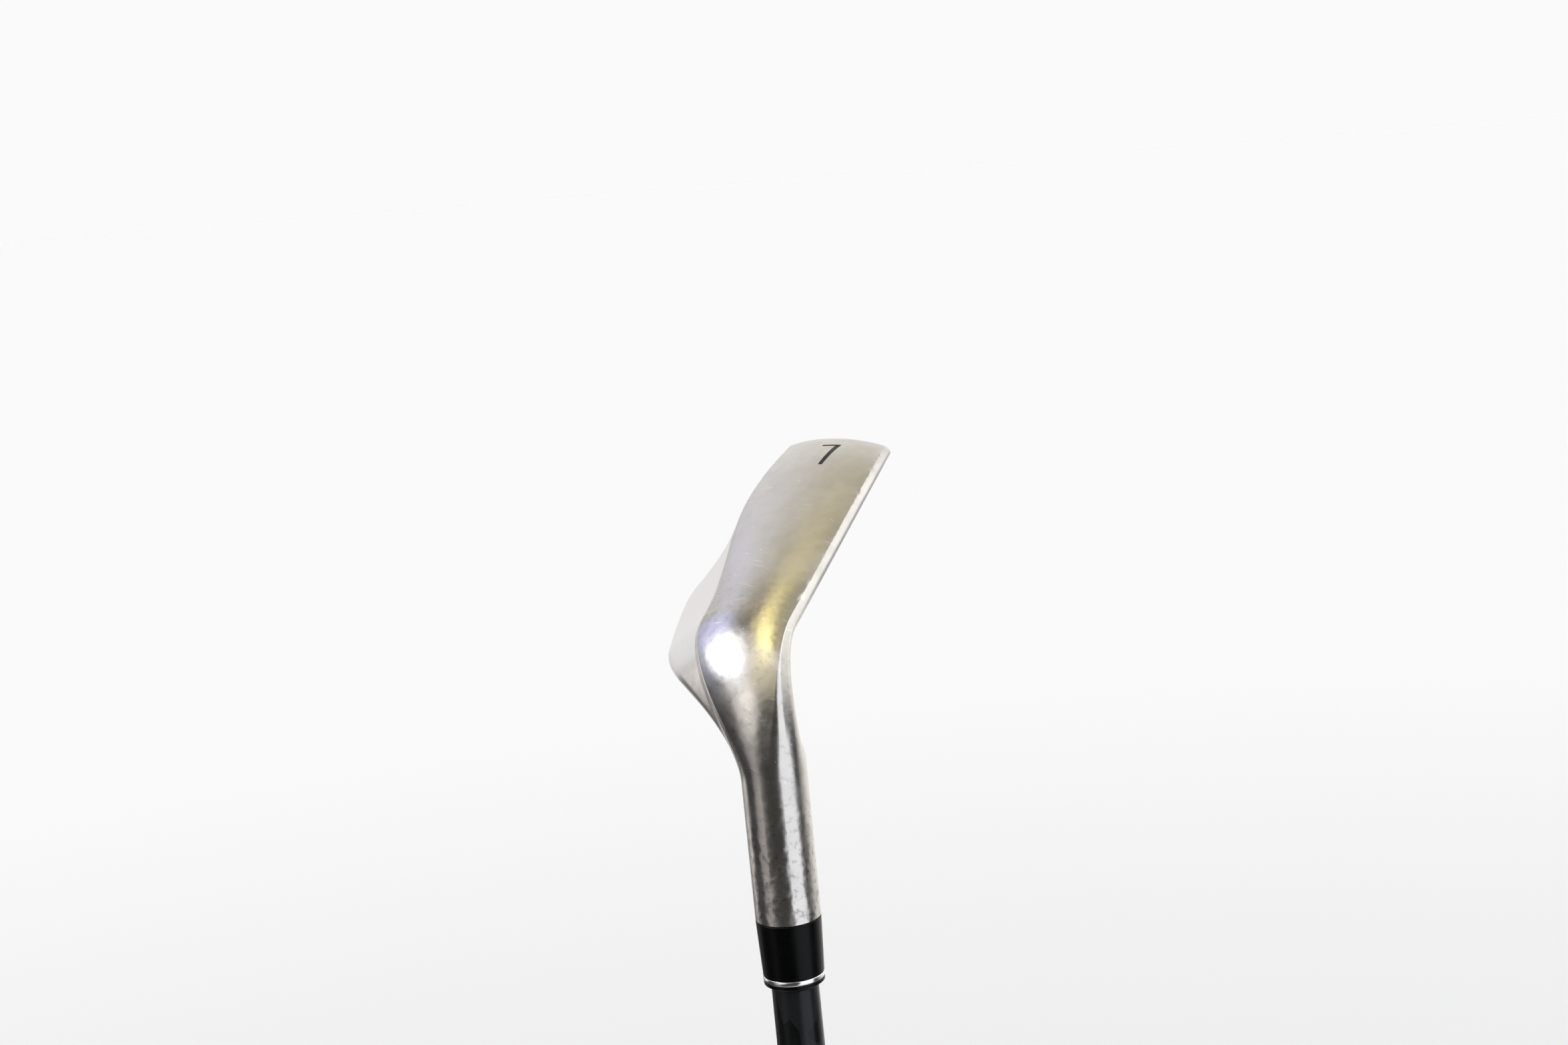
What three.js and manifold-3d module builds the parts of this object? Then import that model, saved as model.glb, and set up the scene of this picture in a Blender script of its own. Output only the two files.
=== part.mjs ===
// Iron golf club, right-handed, a wide-soled seven iron with a cavity back, a round hosel,
// a ferrule with a bright ring, a composite shaft and a rubber grip.
//
// Row frame: +Z runs along the shaft axis from the butt of the grip to the head, +X points from
// the shaft towards the toe, and +Y points from the face towards the back of the head.
// The head is drawn in its address frame, as it stands behind a ball: x towards the toe, y towards
// the target, z up from the ground, with z = 0 at the lowest line of the sole.

import * as THREE from "three";
import { mergeVertices } from "three/addons/utils/BufferGeometryUtils.js";
import Module from "manifold-3d";

const wasm = await Module();
wasm.setup();

// ---------------------------------------------------------------- driving dimensions, mm and degrees

const CLUB_LENGTH = 940; // along the shaft axis, from the butt to the ground line
const LIE = THREE.MathUtils.degToRad(64);
const LOFT = THREE.MathUtils.degToRad(37.5);

const HOSEL_RADIUS = 6.7;
const HOSEL_OFFSET = -4.6; // y of the shaft axis in the address frame
const HOSEL_TOP = 59.9; // along the axis from the ground line
const BORE_BOTTOM = 29;
const BORE_RADIUS = 5;

const TOE_X = 81;
const NECK_X = 7.7; // where the blade ends and the neck starts to turn
const NECK_Z = 38; // height of the line about which the neck's sections turn
const SOLE_LOW_X = 27;
const SOLE_CAMBER = 0.0028; // curvature of the sole from heel to toe, 1/mm
const SOLE_BELLY = 1; // how far the middle of the sole drops below its edges' line
const SOLE_WIDTH = { heel: 21, middle: 27.1, toe: 24.6, heelX: 8, middleX: 50, toeX: 80 };
const LEADING_EDGE_HEIGHT = 4.1;
const LEADING_BEVEL = { back: 1.275, down: 1.36 };
const TRAILING_EDGE_HEIGHT = 2.7;
const TRAILING_BEVEL = { back: 1.17, up: 1.35 };
const TOE_ROUND = { length: 25.5, power: 2.4 }; // how the blade's outline closes at the toe
const TOE_LIFT = { rise: 3.8, power: 1.5 }; // extra rise of the leading edge at the toe
const TOE_SOFTENING = { run: 9, growth: 4 }; // how much rounder the section's corners get at the toe
const TOE_END = { run: 4, size: 0.72 }; // how the sections shrink over the last few millimetres
const TOE_CENTRE_Z = 27;
const TOE_SOLE_Z = 15; // height of the sole's line where the toe ends
const TOE_TOP_SHARE = 0.3; // what is left of the topline's height above the toe's centre there
const TOPLINE = { x: 15, z: 30, slope: Math.tan(THREE.MathUtils.degToRad(24)), thickness: 6.4 };
const BACK_SHOULDER = {
  height: 18.2, // above the sole at heelX, from where it falls towards the toe
  heelX: 10,
  fall: 0.03,
  heelDepth: 30.9, // behind the face
  toeDepth: 17.5,
  start: 25,
  run: 36,
};

const FACE_THICKNESS = 2.9;
const CAVITY = {
  heelX: 20,
  toeX: 73,
  shelfZ: 21,
  rim: 4.2, // left under the topline
  bend: 11, // from the toe end to the corner where the rim turns down
  drop: 3, // how much lower the rim is at the toe end
  toeCorner: 5,
  shelfCorner: 2,
  heelCorner: 1.5,
};
const CHANNEL = {
  heelX: 11,
  toeX: 75,
  floor: 3.6, // above the sole
  wall: 3.2,
  leastDepth: 3, // from front to back
  endRound: 7,
  endRise: 6,
  heelTop: 13, // height of its roof at the heel, before it opens into the cavity
  openingX: 17,
  openingRun: 3.5,
  corners: [3, 1, 1, 3],
};
const BADGE = {
  film: { inset: 1.3, thickness: 0.2 },
  pad: { inset: 1, thickness: 1.1 },
  plate: { inset: 2.4, thickness: 0.8 },
  strip: { heelX: 30, toeX: 62, lowZ: 25.6, highZ: 28.4, lean: 1.5, round: 0.6, thickness: 0.4 },
};
const SCORELINE = {
  count: 14,
  first: 8,
  pitch: 3,
  width: 0.8,
  depth: 0.4,
  heelX: 19,
  toeX: 66,
  fullLength: 5, // how many reach heelX; each one above them is shorter by the trim
  trim: 3.4,
};
const NUMBER = {
  x: 68.4, // top of the digit
  y: -15.5,
  height: 10.3,
  width: 4.5,
  stroke: 1.05,
  bar: 0.8,
  throat: 0.2, // how much thicker the leg is where it meets the bar
  lean: 0.03,
  depth: 0.6,
};
const PAINT = { sideGap: 0.1, sink: 0.15, floorGap: 0.1 }; // how the fill lies in the engraved digit

const SHAFT = { tipRadius: 4.7, ferruleRadius: 4.85, buttRadius: 7.6, tipBore: 2.15, buttBore: 6.3 };
const SHAFT_PARALLEL_TIP = 62; // along the axis from the ground line
const SHAFT_TIP = 30.5;
const FERRULE_END = 75;

const FERRULE = {
  length: 11.7,
  endRadius: 6.25,
  swell: 0.45, // share of the taper that is used up half way along
  ring: 0.95,
  ringCrown: 0.08,
  collar: 1.5,
  collarShoulder: { at: 0.35, step: 0.1 },
  collarEndRadius: 5.35,
};
const TIP_WEIGHT = { stem: 22, head: 1.2, headStep: 0.3 };
const BAND = { from: 250, length: 40, thickness: 0.15 }; // from is measured up from the butt of the grip
const GRIP_LENGTH = 268;
const GRIP_CAP = { length: 7, radius: 13.4, round: 2.4, rim: 1, ventRadius: 1.5, floor: 6.2 };
const GRIP = { buttRadius: 12.6, mouthRadius: 8.9, mouthLip: 1.5, mouthStep: 1, taperPower: 1.15 };
const TAPE = { thickness: 0.35, fromMouth: 6, fromCap: 1 };

const SMALL_GAP = 0.03; // between coaxial pieces, which share their facets
const LAYER_GAP = 0.1; // between flat faces that lie against each other
const ROUND_SEGMENTS = 32;
const BLADE_STEPS = 28;
const NECK_STEPS = 15;
const CHANNEL_STEPS = 12;
const GRIP_STEPS = 8;
const CAP_ROUND_STEPS = 4;
const CUT_REACH = 80; // how far a cutting tool runs past the head
const CUT_OVERLAP = 1; // how far one cut runs into the next
const SLIVER = 0.01; // the head's facets that are thinner than this are merged into their neighbours

// ---------------------------------------------------------------- frames

const AXIS_DIRECTION = new THREE.Vector3(-Math.cos(LIE), 0, Math.sin(LIE)); // from the head to the grip
const ADDRESS_TO_ROW = new THREE.Matrix4().set(
  Math.sin(LIE), 0, Math.cos(LIE), 0,
  0, -1, 0, HOSEL_OFFSET,
  Math.cos(LIE), 0, -Math.sin(LIE), CLUB_LENGTH,
  0, 0, 0, 1,
);

// Height in the row frame of a point on the axis, given its distance from the ground line.
const axisZ = (distance) => CLUB_LENGTH - distance;

// ---------------------------------------------------------------- small helpers

const mix = (a, b, t) => a + (b - a) * t;

const smoothstep = (t) => {
  const s = THREE.MathUtils.clamp(t, 0, 1);
  return s * s * (3 - 2 * s);
};

function toManifold(geometry) {
  const bare = geometry.index ? geometry.toNonIndexed() : geometry.clone();
  for (const name of Object.keys(bare.attributes)) {
    if (name !== "position") bare.deleteAttribute(name);
  }
  const merged = mergeVertices(bare, 1e-4);
  return new wasm.Manifold(new wasm.Mesh({
    numProp: 3,
    vertProperties: new Float32Array(merged.attributes.position.array),
    triVerts: new Uint32Array(merged.index.array),
  }));
}

function toGeometry(manifold) {
  const mesh = manifold.getMesh();
  const geometry = new THREE.BufferGeometry();
  geometry.setAttribute("position", new THREE.BufferAttribute(mesh.vertProperties, 3));
  geometry.setIndex(new THREE.BufferAttribute(mesh.triVerts, 1));
  geometry.computeVertexNormals();
  return geometry;
}

// A solid of revolution about the row's Z axis. The profile is a closed list of [radius, z] points.
function turned(profile) {
  const points = [...profile, profile[0]].map(([radius, z]) => new THREE.Vector2(radius, z));
  return new THREE.LatheGeometry(points, ROUND_SEGMENTS).rotateX(Math.PI / 2);
}

// The same for a solid with no bore, whose profile starts and ends on the axis.
function turnedSolid(profile) {
  const points = profile.map(([radius, z]) => new THREE.Vector2(radius, z));
  return new THREE.LatheGeometry(points, ROUND_SEGMENTS).rotateX(Math.PI / 2);
}

// A closed outline with its corners rounded. Each corner is [x, y, radius].
function roundedShape(corners) {
  const shape = new THREE.Shape();
  corners.forEach(([x, y, radius], i) => {
    const corner = new THREE.Vector2(x, y);
    const [beforeX, beforeY] = corners.at(i - 1);
    const [afterX, afterY] = corners[(i + 1) % corners.length];
    const start = new THREE.Vector2(beforeX, beforeY).sub(corner).setLength(radius).add(corner);
    const end = new THREE.Vector2(afterX, afterY).sub(corner).setLength(radius).add(corner);
    if (i === 0) shape.moveTo(start.x, start.y);
    else shape.lineTo(start.x, start.y);
    if (radius > 0) shape.quadraticCurveTo(corner.x, corner.y, end.x, end.y);
  });
  shape.closePath();
  return shape;
}

function extruded(shape, depth, curveSegments = 4) {
  return new THREE.ExtrudeGeometry(shape, { depth, bevelEnabled: false, curveSegments });
}

// ---------------------------------------------------------------- outline of the blade

// The face is a flat plane that leans back by the loft: its y at height z.
const faceY = (z) => -(z - LEADING_EDGE_HEIGHT) * Math.tan(LOFT);

function soleWidth(x) {
  const { heel, middle, toe, heelX, middleX, toeX } = SOLE_WIDTH;
  const heelHalf = mix(heel, middle, smoothstep((x - heelX) / (middleX - heelX)));
  return mix(heelHalf, toe, smoothstep((x - middleX) / (toeX - middleX)));
}

// Share of the full blade height at x: 1 along the blade, falling to 0 at the toe.
function toeShare(x) {
  const inwards = THREE.MathUtils.clamp((TOE_X - x) / TOE_ROUND.length, 0, 1);
  return Math.max(0, 1 - (1 - inwards) ** TOE_ROUND.power) ** (1 / TOE_ROUND.power);
}

function toplineZ(x) {
  const straight = TOPLINE.z + (x - TOPLINE.x) * TOPLINE.slope;
  return TOE_CENTRE_Z + (straight - TOE_CENTRE_Z) * mix(TOE_TOP_SHARE, 1, toeShare(x));
}

function soleZ(x) {
  const share = toeShare(x);
  const camber = SOLE_CAMBER * (x - SOLE_LOW_X) ** 2 / 2;
  return camber * share + TOE_SOLE_Z * (1 - share);
}

// Height of the back shoulder, and its distance behind the face.
function shoulderZ(x) {
  return soleZ(x) + BACK_SHOULDER.height - (x - BACK_SHOULDER.heelX) * BACK_SHOULDER.fall;
}

function shoulderDepth(x) {
  const along = smoothstep((x - BACK_SHOULDER.start) / BACK_SHOULDER.run);
  return mix(BACK_SHOULDER.heelDepth, BACK_SHOULDER.toeDepth, along);
}

// Corners of the blade's section at x, as [y, z], and the radius that rounds each. In order:
// leading edge, front and back of the topline, back shoulder, top and bottom of the trailing
// bevel, middle of the sole, and bottom of the leading bevel.
const SECTION_RADII = [1, 1, 1.5, 6, 0.8, 0.8, 60, 0.8];
const SECTION_POINTS = [4, 6, 8, 8, 3, 8, 9, 4]; // points from each corner to the next

function bladeSection(x) {
  const sole = soleZ(x);
  const top = toplineZ(x);
  const edge = sole + LEADING_EDGE_HEIGHT + TOE_LIFT.rise * (1 - toeShare(x)) ** TOE_LIFT.power;
  const edgeY = faceY(edge);
  const width = soleWidth(x);
  const shoulder = shoulderZ(x);
  const topBack = [
    faceY(top) - TOPLINE.thickness * Math.cos(LOFT),
    top - TOPLINE.thickness * Math.sin(LOFT),
  ];
  const trailing = [edgeY - width, sole + TRAILING_EDGE_HEIGHT];
  const corners = [
    [edgeY, edge],
    [faceY(top), top],
    topBack,
    [faceY(shoulder) - shoulderDepth(x), shoulder],
    [trailing[0] - TRAILING_BEVEL.back, trailing[1] + TRAILING_BEVEL.up],
    trailing,
    [edgeY - width / 2, sole - SOLE_BELLY],
    [edgeY - LEADING_BEVEL.back, edge - LEADING_BEVEL.down],
  ];
  const fromEnd = Math.min(1, (TOE_X - x) / TOE_END.run);
  const size = mix(TOE_END.size, 1, Math.sqrt(1 - (1 - fromEnd) ** 2));
  const centreY = corners.reduce((sum, corner) => sum + corner[0], 0) / corners.length;
  const centreZ = corners.reduce((sum, corner) => sum + corner[1], 0) / corners.length;
  return corners.map(([y, z]) => [mix(centreY, y, size), mix(centreZ, z, size)]);
}

// Radii of the section's corners at x: small along the blade, and soft at the toe.
function bladeRadii(x) {
  const toToe = Math.max(0, 1 - (TOE_X - x) / TOE_SOFTENING.run);
  return SECTION_RADII.map((radius) => radius * (1 + TOE_SOFTENING.growth * toToe ** 2));
}

// ---------------------------------------------------------------- rounded sections

// Points around a polygon whose corners are rounded, counts[i] of them from the middle of corner
// i's arc to the middle of the next. They are spaced half by length and half by turning, so that
// the same point on two neighbouring sections lies at the same place on both.
function roundedSection(corners, radii, counts) {
  const size = corners.length;
  const at = corners.map(([u, v]) => new THREE.Vector2(u, v));
  const toPrevious = at.map((p, i) => at.at(i - 1).clone().sub(p));
  const toNext = at.map((p, i) => at[(i + 1) % size].clone().sub(p));
  const edgeLength = toNext.map((v) => v.length());
  toPrevious.forEach((v) => v.normalize());
  toNext.forEach((v) => v.normalize());
  const turn = at.map((_, i) => Math.PI - Math.acos(THREE.MathUtils.clamp(
    toPrevious[i].dot(toNext[i]), -0.99999, 0.99999)));
  const tangent = radii.map((radius, i) => radius * Math.tan(turn[i] / 2));
  const fitting = at.map((_, i) => {
    const after = edgeLength[i] / (tangent[i] + tangent[(i + 1) % size]);
    const before = edgeLength.at(i - 1) / (tangent[i] + tangent.at(i - 1));
    return Math.min(1, after, before);
  });
  const reach = tangent.map((t, i) => t * fitting[i]);
  const radius = reach.map((t, i) => t / Math.tan(turn[i] / 2));
  const centre = at.map((p, i) => toPrevious[i].clone().add(toNext[i])
    .setLength(radius[i] / Math.cos(turn[i] / 2)).add(p));
  const points = [];
  for (let i = 0; i < size; i += 1) {
    const j = (i + 1) % size;
    const halves = [turn[i] / 2, turn[j] / 2];
    const straight = Math.max(0, edgeLength[i] - reach[i] - reach[j]);
    const length = radius[i] * halves[0] + straight + radius[j] * halves[1];
    const share = (arc, bend) => (arc / length + bend / (halves[0] + halves[1])) / 2;
    const firstShare = share(radius[i] * halves[0], halves[0]);
    const straightShare = straight / length / 2;
    const lastShare = share(radius[j] * halves[1], halves[1]);
    const leaving = at[i].clone().addScaledVector(toNext[i], reach[i]);
    const arriving = at[j].clone().addScaledVector(toPrevious[j], reach[j]);
    for (let k = 0; k < counts[i]; k += 1) {
      const along = k / counts[i];
      if (along < firstShare) {
        const middle = at[i].clone().sub(centre[i]).setLength(radius[i]).add(centre[i]);
        points.push(onArc(centre[i], middle, leaving, halves[0], along / firstShare));
      } else if (along < firstShare + straightShare) {
        points.push(leaving.clone().lerp(arriving, (along - firstShare) / straightShare));
      } else {
        const middle = at[j].clone().sub(centre[j]).setLength(radius[j]).add(centre[j]);
        const part = (along - firstShare - straightShare) / lastShare;
        points.push(onArc(centre[j], arriving, middle, halves[1], part));
      }
    }
  }
  return points;
}

// The point that is a part t of the way along an arc that turns by the given angle.
function onArc(centre, from, to, angle, t) {
  const start = from.clone().sub(centre).multiplyScalar(Math.sin((1 - t) * angle) / Math.sin(angle));
  const end = to.clone().sub(centre).multiplyScalar(Math.sin(t * angle) / Math.sin(angle));
  return start.add(end).add(centre);
}

// ---------------------------------------------------------------- head: blade, neck and hosel

// Directions in which the eight sides of the hosel's section face, in degrees. They continue the
// sides of the blade's section, so that each corner runs on into the hosel and fades there.
const HOSEL_SIDES = [15, 90, 150, 190, 220, 248, 285, 335];

// Corners of the polygon around the hosel's circle, as [outwards from the neck's line, y].
function hoselCorners(outwards) {
  return HOSEL_SIDES.map((side, i) => {
    const before = HOSEL_SIDES.at(i - 1) - (i === 0 ? 360 : 0);
    const middle = THREE.MathUtils.degToRad((before + side) / 2);
    const half = THREE.MathUtils.degToRad((side - before) / 2);
    const reach = HOSEL_RADIUS / Math.cos(half);
    return [outwards - reach * Math.sin(middle), HOSEL_OFFSET + reach * Math.cos(middle)];
  });
}

// Fullness of the neck half way along its turn, for each corner: outwards, then along y.
const NECK_FULLNESS = [[0, 1.2], [0, 1.2], [0, 0], [0, 0], [0, 0], [0.8, 0], [0.8, 0], [0.8, 1.2]];

function headRings() {
  const rings = [];
  for (let i = 0; i < BLADE_STEPS; i += 1) {
    const x = TOE_X - (TOE_X - NECK_X) * (1 - Math.cos(i / (BLADE_STEPS - 1) * Math.PI / 2));
    const section = roundedSection(bladeSection(x), bladeRadii(x), SECTION_POINTS);
    rings.push(section.map((p) => new THREE.Vector3(x, p.x, p.y)));
  }
  const neckLine = new THREE.Vector3(NECK_X, 0, NECK_Z);
  const toeNormal = new THREE.Vector3(Math.sin(LIE), 0, Math.cos(LIE));
  const toOutwards = ([y, z]) => [NECK_Z - z, y];
  const first = bladeSection(NECK_X).map(toOutwards);
  const inner = bladeSection(NECK_X + 1).map(toOutwards);
  const last = hoselCorners(neckLine.dot(toeNormal));
  for (let k = 1; k <= NECK_STEPS; k += 1) {
    const t = k / NECK_STEPS;
    const angle = LIE * t;
    const blend = smoothstep(t);
    const lead = t * (1 - t) ** 2 * LIE;
    const fullness = (4 * t * (1 - t)) ** 2;
    const corners = first.map((start, i) => [0, 1].map((c) => mix(start[c], last[i][c], blend)
      + lead * start[0] * (start[c] - inner[i][c]) + fullness * NECK_FULLNESS[i][c]));
    const radii = SECTION_RADII.map((r) => Math.exp(mix(Math.log(r), Math.log(HOSEL_RADIUS), blend)));
    rings.push(neckRing(corners, radii, neckLine, angle));
  }
  const hosel = rings.at(-1);
  const rise = HOSEL_TOP - neckLine.dot(AXIS_DIRECTION);
  for (const part of [0.5, 1]) {
    rings.push(hosel.map((p) => p.clone().addScaledVector(AXIS_DIRECTION, rise * part)));
  }
  return rings;
}

// One section of the neck, turned about the neck's line. Its corners are [outwards, y].
function neckRing(corners, radii, neckLine, angle) {
  const outwards = new THREE.Vector3(-Math.sin(angle), 0, -Math.cos(angle));
  const flat = corners.map(([out, y]) => [y, -out]);
  return roundedSection(flat, radii, SECTION_POINTS).map((p) => {
    const point = neckLine.clone().addScaledVector(outwards, -p.y);
    point.y = p.x;
    return point;
  });
}

// A closed surface through the rings, with a fan at each end.
function loft(rings) {
  const count = rings[0].length;
  const positions = rings.flat().flatMap((p) => [p.x, p.y, p.z]);
  const index = [];
  for (let i = 0; i + 1 < rings.length; i += 1) {
    for (let j = 0; j < count; j += 1) {
      const here = i * count + j;
      const beside = i * count + (j + 1) % count;
      index.push(here, here + count, beside, beside, here + count, beside + count);
    }
  }
  for (const [ring, flip] of [[0, false], [rings.length - 1, true]]) {
    const middle = positions.length / 3;
    const centre = rings[ring].reduce((sum, p) => sum.add(p), new THREE.Vector3()).divideScalar(count);
    positions.push(centre.x, centre.y, centre.z);
    for (let j = 0; j < count; j += 1) {
      const here = ring * count + j;
      const beside = ring * count + (j + 1) % count;
      if (flip) index.push(middle, beside, here);
      else index.push(middle, here, beside);
    }
  }
  const geometry = new THREE.BufferGeometry();
  geometry.setAttribute("position", new THREE.Float32BufferAttribute(positions, 3));
  geometry.setIndex(index);
  return geometry;
}

// ---------------------------------------------------------------- cuts in the head

// Moves geometry drawn on the face into the address frame: x stays, y runs up the face and z runs
// backwards into the head, with the origin where the face plane meets the leading edge height.
function ontoFace(geometry) {
  const up = new THREE.Vector3(0, -Math.sin(LOFT), Math.cos(LOFT));
  const back = new THREE.Vector3(0, -Math.cos(LOFT), -Math.sin(LOFT));
  const basis = new THREE.Matrix4().makeBasis(new THREE.Vector3(1, 0, 0), up, back);
  return geometry.applyMatrix4(basis.setPosition(0, 0, LEADING_EDGE_HEIGHT));
}

// Everything behind the back of the face plate.
function behindFace(thickness) {
  const slab = new THREE.BoxGeometry(2 * CUT_REACH, 2 * CUT_REACH, CUT_REACH);
  return toManifold(ontoFace(slab.translate(TOE_X / 2, 0, CUT_REACH / 2 + thickness)));
}

// Draws an outline in x and z, and extrudes it along y from the target side to the back.
function throughBlade(corners) {
  return toManifold(extruded(roundedShape(corners), CUT_REACH).rotateX(Math.PI / 2));
}

// The cavity's opening in the back, as seen along y, inset by a distance all round.
function cavityOutline(inset, bottom) {
  const heel = CAVITY.heelX + inset;
  const toe = CAVITY.toeX - inset;
  const rim = CAVITY.rim + inset;
  const bend = toe - CAVITY.bend;
  return [
    [heel, bottom, CAVITY.shelfCorner],
    [toe, bottom, CAVITY.toeCorner],
    [toe, toplineZ(toe) - rim - CAVITY.drop, CAVITY.toeCorner],
    [bend, toplineZ(bend) - rim, CAVITY.toeCorner],
    [heel, toplineZ(heel) - rim, CAVITY.heelCorner],
  ];
}

// The channel that runs inside the sole bar, under the opening, with walls of one thickness.
function channelCut() {
  const plate = FACE_THICKNESS / Math.cos(LOFT);
  const front = (z) => faceY(z) - plate - CHANNEL.corners[1] / 2;
  const rings = [];
  for (let i = 0; i <= CHANNEL_STEPS; i += 1) {
    const x = mix(CHANNEL.toeX, CHANNEL.heelX, (1 - Math.cos(i / CHANNEL_STEPS * Math.PI)) / 2);
    const toEnd = Math.min(x - CHANNEL.heelX, CHANNEL.toeX - x) / CHANNEL.endRound;
    const fullness = Math.sqrt(1 - (1 - Math.min(1, toEnd)) ** 2);
    const floor = soleZ(x) + CHANNEL.floor + CHANNEL.endRise * (1 - fullness);
    const opening = smoothstep((x - CHANNEL.openingX) / CHANNEL.openingRun);
    const top = mix(CHANNEL.heelTop, CAVITY.shelfZ + CUT_OVERLAP, opening);
    const shoulder = shoulderZ(x);
    const shoulderY = faceY(shoulder) - shoulderDepth(x) + CHANNEL.wall;
    const footY = front(floor) - soleWidth(x) + CHANNEL.wall + plate;
    const backY = mix(footY, shoulderY, Math.min(1, (top - floor) / (shoulder - floor)));
    const corners = [
      [front(floor), floor],
      [front(top), top],
      [Math.min(front(top) - CHANNEL.leastDepth, backY), top],
      [Math.min(front(floor) - CHANNEL.leastDepth, footY), floor],
    ];
    const section = roundedSection(corners, CHANNEL.corners, [4, 4, 4, 4]);
    rings.push(section.map((p) => new THREE.Vector3(x, p.x, p.y)));
  }
  return toManifold(loft(rings));
}

// The cavity: a pocket open to the back above the shelf, and the channel inside the sole bar.
function cavityCut() {
  const pocket = throughBlade(cavityOutline(0, CAVITY.shelfZ)).intersect(behindFace(FACE_THICKNESS));
  return pocket.add(channelCut());
}

// Scorelines: shallow straight grooves across the face.
function scorelineCuts() {
  const cuts = [];
  for (let i = 0; i < SCORELINE.count; i += 1) {
    const up = SCORELINE.first + i * SCORELINE.pitch;
    // The upper grooves stop short of the heel, where the topline comes down.
    const heel = SCORELINE.heelX + Math.max(0, i + 1 - SCORELINE.fullLength) * SCORELINE.trim;
    const cutter = SCORELINE.depth + CUT_OVERLAP;
    const groove = new THREE.BoxGeometry(SCORELINE.toeX - heel, SCORELINE.width, cutter);
    groove.translate((heel + SCORELINE.toeX) / 2, up, SCORELINE.depth - cutter / 2);
    cuts.push(toManifold(ontoFace(groove)));
  }
  return cuts;
}

// The digit on the sole, with its top towards the toe, as an outline in x and y.
function numberShape(shrink) {
  const { x, y, height, width, stroke, bar, throat, lean } = NUMBER;
  const top = x - shrink;
  const foot = x - height + shrink;
  const front = y + width / 2 - shrink;
  const rear = y - width / 2 + shrink;
  const legRear = front - stroke + 2 * shrink;
  const slant = lean * height;
  return new THREE.Shape([
    new THREE.Vector2(top, rear),
    new THREE.Vector2(top, front),
    new THREE.Vector2(top - bar, front),
    new THREE.Vector2(foot, front - slant),
    new THREE.Vector2(foot, legRear - slant),
    new THREE.Vector2(top - bar + 2 * shrink, legRear - throat),
    new THREE.Vector2(top - bar + 2 * shrink, rear),
  ]);
}

// An upright prism of the digit that runs through the sole.
function numberPrism(shrink) {
  const reach = NUMBER.height / 2;
  const low = soleZ(NUMBER.x) - reach;
  return toManifold(extruded(numberShape(shrink), 2 * reach).translate(0, 0, low));
}

// ---------------------------------------------------------------- head pieces

function headSolids() {
  const blank = toManifold(loft(headRings()));
  // The floor of the engraving follows the sole: it is the sole itself, lifted by the depth.
  const lifted = (distance) => blank.translate([0, 0, distance]);
  const engraving = numberPrism(0).subtract(lifted(NUMBER.depth));
  let head = blank.subtract(engraving).subtract(cavityCut());
  for (const groove of scorelineCuts()) head = head.subtract(groove);
  const fill = numberPrism(PAINT.sideGap)
    .intersect(lifted(PAINT.sink))
    .subtract(lifted(NUMBER.depth - PAINT.floorGap));
  const bore = turnedSolid([
    [0, axisZ(HOSEL_TOP + CUT_OVERLAP)],
    [BORE_RADIUS, axisZ(HOSEL_TOP + CUT_OVERLAP)],
    [BORE_RADIUS, axisZ(BORE_BOTTOM)],
    [0, axisZ(BORE_BOTTOM)],
  ]);
  const headInRow = toManifold(toGeometry(head).applyMatrix4(ADDRESS_TO_ROW));
  return {
    head: toGeometry(headInRow.subtract(toManifold(bore)).simplify(SLIVER)),
    fill: toGeometry(fill).applyMatrix4(ADDRESS_TO_ROW),
  };
}

// A layer of the badge, from one depth behind the face to another. Its outline is drawn in x and z,
// and it stands square to the face.
function badgeLayer(corners, from, thickness) {
  const upFace = (z) => (z - LEADING_EDGE_HEIGHT + from * Math.sin(LOFT)) / Math.cos(LOFT);
  const onFace = corners.map(([x, z, radius]) => [x, upFace(z), radius]);
  const layer = extruded(roundedShape(onFace), thickness, 3);
  return ontoFace(layer.translate(0, 0, from)).applyMatrix4(ADDRESS_TO_ROW);
}

// The layers of the badge, from the face outwards, each a small gap behind the one before.
function badgeGeometries() {
  const opening = (inset) => cavityOutline(inset, CAVITY.shelfZ + inset);
  const { film, pad, plate, strip } = BADGE;
  const filmAt = FACE_THICKNESS + LAYER_GAP;
  const padAt = filmAt + film.thickness + LAYER_GAP;
  const plateAt = padAt + pad.thickness + LAYER_GAP;
  const stripAt = plateAt + plate.thickness + LAYER_GAP;
  const stripCorners = [
    [strip.heelX, strip.lowZ, strip.round],
    [strip.toeX, strip.lowZ, strip.round],
    [strip.toeX + strip.lean, strip.highZ, strip.round],
    [strip.heelX + strip.lean, strip.highZ, strip.round],
  ];
  return {
    film: badgeLayer(opening(film.inset), filmAt, film.thickness),
    pad: badgeLayer(opening(pad.inset), padAt, pad.thickness),
    plate: badgeLayer(opening(plate.inset), plateAt, plate.thickness),
    strip: badgeLayer(stripCorners, stripAt, strip.thickness),
  };
}

// ---------------------------------------------------------------- coaxial pieces

// Outside radius of the shaft at a distance from the ground line.
function shaftRadius(distance) {
  if (distance <= SHAFT_PARALLEL_TIP) return SHAFT.tipRadius;
  if (distance <= FERRULE_END) {
    const along = (distance - SHAFT_PARALLEL_TIP) / (FERRULE_END - SHAFT_PARALLEL_TIP);
    return mix(SHAFT.tipRadius, SHAFT.ferruleRadius, along);
  }
  const along = (distance - FERRULE_END) / (CLUB_LENGTH - FERRULE_END);
  return mix(SHAFT.ferruleRadius, SHAFT.buttRadius, along);
}

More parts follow.
